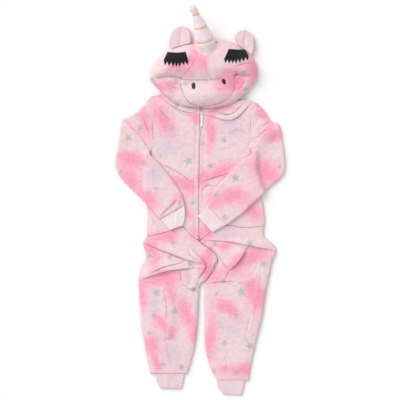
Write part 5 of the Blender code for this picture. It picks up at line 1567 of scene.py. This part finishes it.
def lashes(felt):
    """Felt eyelashes on the brow: a band, and seven pointed lashes hanging from it."""
    t = np.linspace(0, 1, LASH_COUNT * LASH_POINTS + 1)
    spike = np.clip(1 - np.abs(t * LASH_COUNT % 1 - 0.5) / LASH_HALF, 0, 1) ** LASH_POWER
    down = np.stack([(t - 0.5) * LASH_LEAN, -np.ones_like(t)], axis=1) * (spike * LASH_TIP)[:, None]
    for name, edges in (("eyelash_left", LASH_LEFT), ("eyelash_right", LASH_RIGHT)):
        upper, lower = curve(edges["upper"], t), curve(edges["lower"], t)
        band = [upper + (lower - upper) * share for share in np.linspace(0, 1, BAND_ROWS)]
        hanging = [lower + down * share for share in np.linspace(0.1, 1, TIP_ROWS)]
        x, y = np.moveaxis(np.stack((band + hanging)[::-1], axis=1), -1, 0)
        outer = raised(hood_height, x, y, CLOTH + FELT_LIFT[1] + FELT)
        inner = raised(hood_height, x, y, CLOTH + FELT_LIFT[0])
        sewn(name, skin(name, outer, inner), felt, "black_felt")


def nostrils(black):
    """Satin-stitched ovals on the muzzle, domed a little."""
    u, v = disc(np.linspace(-1, 1, NOSTRIL_POINTS))
    dome = np.sqrt(np.clip(1 - u**2 - v**2, 0, 1))
    for name, (x0, y0, half_width, half_height, turn) in (("nostril_left", NOSTRIL_LEFT),
                                                          ("nostril_right", NOSTRIL_RIGHT)):
        satin = SATIN[0] * np.cos(2 * np.pi * v * half_height / SATIN[1])
        c, s = math.cos(math.radians(turn)), math.sin(math.radians(turn))
        x = x0 + c * u * half_width - s * v * half_height
        y = y0 + s * u * half_width + c * v * half_height
        outer = raised(muzzle_height, x, y, CLOTH + STITCH_LIFT[1] + STITCHED + (DOME + satin) * dome)
        inner = raised(muzzle_height, x, y, CLOTH + STITCH_LIFT[0])
        stand_in(name, skin(name, outer, inner), black)


def zip_parts(tape, metal, nylon, sewing):
    """The zip's tapes, its teeth, and the better finish of its slider and pull tab."""
    def on_back(x, y, t, s):
        return level(x, y, TAPE_LOW + TAPE), level(x, y, TAPE_LOW)

    line = ZIP_LINE[:-1] + [(ZIP_LINE[-1][0], TAPE_END)]
    for side, name in ((-1, "zip_tape_left"), (1, "zip_tape_right")):
        left, right = sorted([(x + side * edge, y) for x, y in line] for edge in TAPE_EDGES)
        sides = [up(left), up(right), [left[-1], right[-1]], [left[0], right[0]]]
        sewn(name, flat_panel(name, sides, on_back, TAPE_STEP), tape, "zip_tape")
    teeth(nylon)
    topstitching(sewing)
    for name in ("zip_slider", "zip_pull_tab"):
        node = frame["nodes"][name]
        node.data.materials.clear()
        node.data.materials.append(metal)


def along_zip(pitch, offset, top, bottom):
    """Places along the zip: x, y and the way it runs, a pitch apart."""
    line = curve(ZIP_LINE, np.linspace(0, 1, ZIP_POINTS))
    run = np.concatenate([[0], np.cumsum(np.linalg.norm(np.diff(line, axis=0), axis=1))])
    way = np.gradient(line, axis=0)
    way = way / np.linalg.norm(way, axis=1)[:, None]
    for at in np.arange(0, run[-1], pitch):
        x, y = (np.interp(at, run, line[:, k]) for k in (0, 1))
        dx, dy = (np.interp(at, run, way[:, k]) for k in (0, 1))
        if bottom < y < top:
            yield x - dy * offset, y + dx * offset, math.atan2(dy, dx)


def bead(bm, at, turn, aside, size, rings):
    """A small rounded block: where it is, the way it points, how far aside it lies, and its half sizes."""
    place = Matrix.Translation(Vector(at) * MM) @ Matrix.Rotation(turn, 4, "Z")
    place = place @ Matrix.Translation(Vector((0, aside, 0)) * MM)
    block = bmesh.ops.create_uvsphere(bm, u_segments=8, v_segments=rings, radius=1.0)
    scale = Matrix.Diagonal([half * MM for half in size] + [1])
    bmesh.ops.transform(bm, matrix=place @ scale, verts=block["verts"])


def teeth(look):
    """The teeth, small rounded blocks: shut below the slider, the two sides in turn, and parted above it."""
    bm = bmesh.new()
    top, above, below, bottom = TEETH_REACH
    shut = along_zip(TOOTH_PITCH, 0, SLIDER_AT[1] - below, bottom)
    rows_of_teeth = [(at, (1 if number % 2 else -1), SHUT_TEETH) for number, at in enumerate(shut)]
    for side in (-1, 1):
        parted = along_zip(TOOTH_PITCH, 0, top, SLIDER_AT[1] + above)
        rows_of_teeth += [(at, side, OPEN_TEETH) for at in parted]
    for (x, y, turn), side, (aside, wide, high) in rows_of_teeth:
        at = (x, y, TAPE_LOW + TAPE + high + TOOTH_AIR)
        bead(bm, at, turn, side * aside, (TOOTH_HALF, wide, high), TOOTH_RINGS)
    piece("zip_teeth", finished(bm, "zip_teeth"), look)


def topstitching(look):
    """Lockstitches in the furrows beside the zip."""
    bm = bmesh.new()
    lines = ((-STITCH_LINES[0], FRONT_LEFT_FOLDS), (STITCH_LINES[1], FRONT_RIGHT_FOLDS))
    for offset, table in lines:
        for x, y, turn in along_zip(STITCH_PITCH, offset, *STITCH_REACH):
            height = BODY_TOP + float(folds(table, np.array([x]), np.array([y]))[0])
            bead(bm, (x, y, height - STITCH_SUNK), turn, 0, STITCH_SIZE, STITCH_RINGS)
    piece("zip_stitches", finished(bm, "zip_stitches"), look)


studio()
FLEECE = printed_fleece()
bodies(FLEECE)
limbs(FLEECE, rib_knit("cuff_rib"), rib_knit("ankle_rib"))
hood(FLEECE)
horn(horn_plush(), thread("gold_thread", roughness=0.45), FLEECE)
ears(FLEECE, plain_plush())
lashes(black_felt())
nostrils(thread("black_thread", roughness=0.6))
zip_parts(woven_tape(), enamel(), moulded_teeth(), thread("sewing_thread", roughness=0.8))
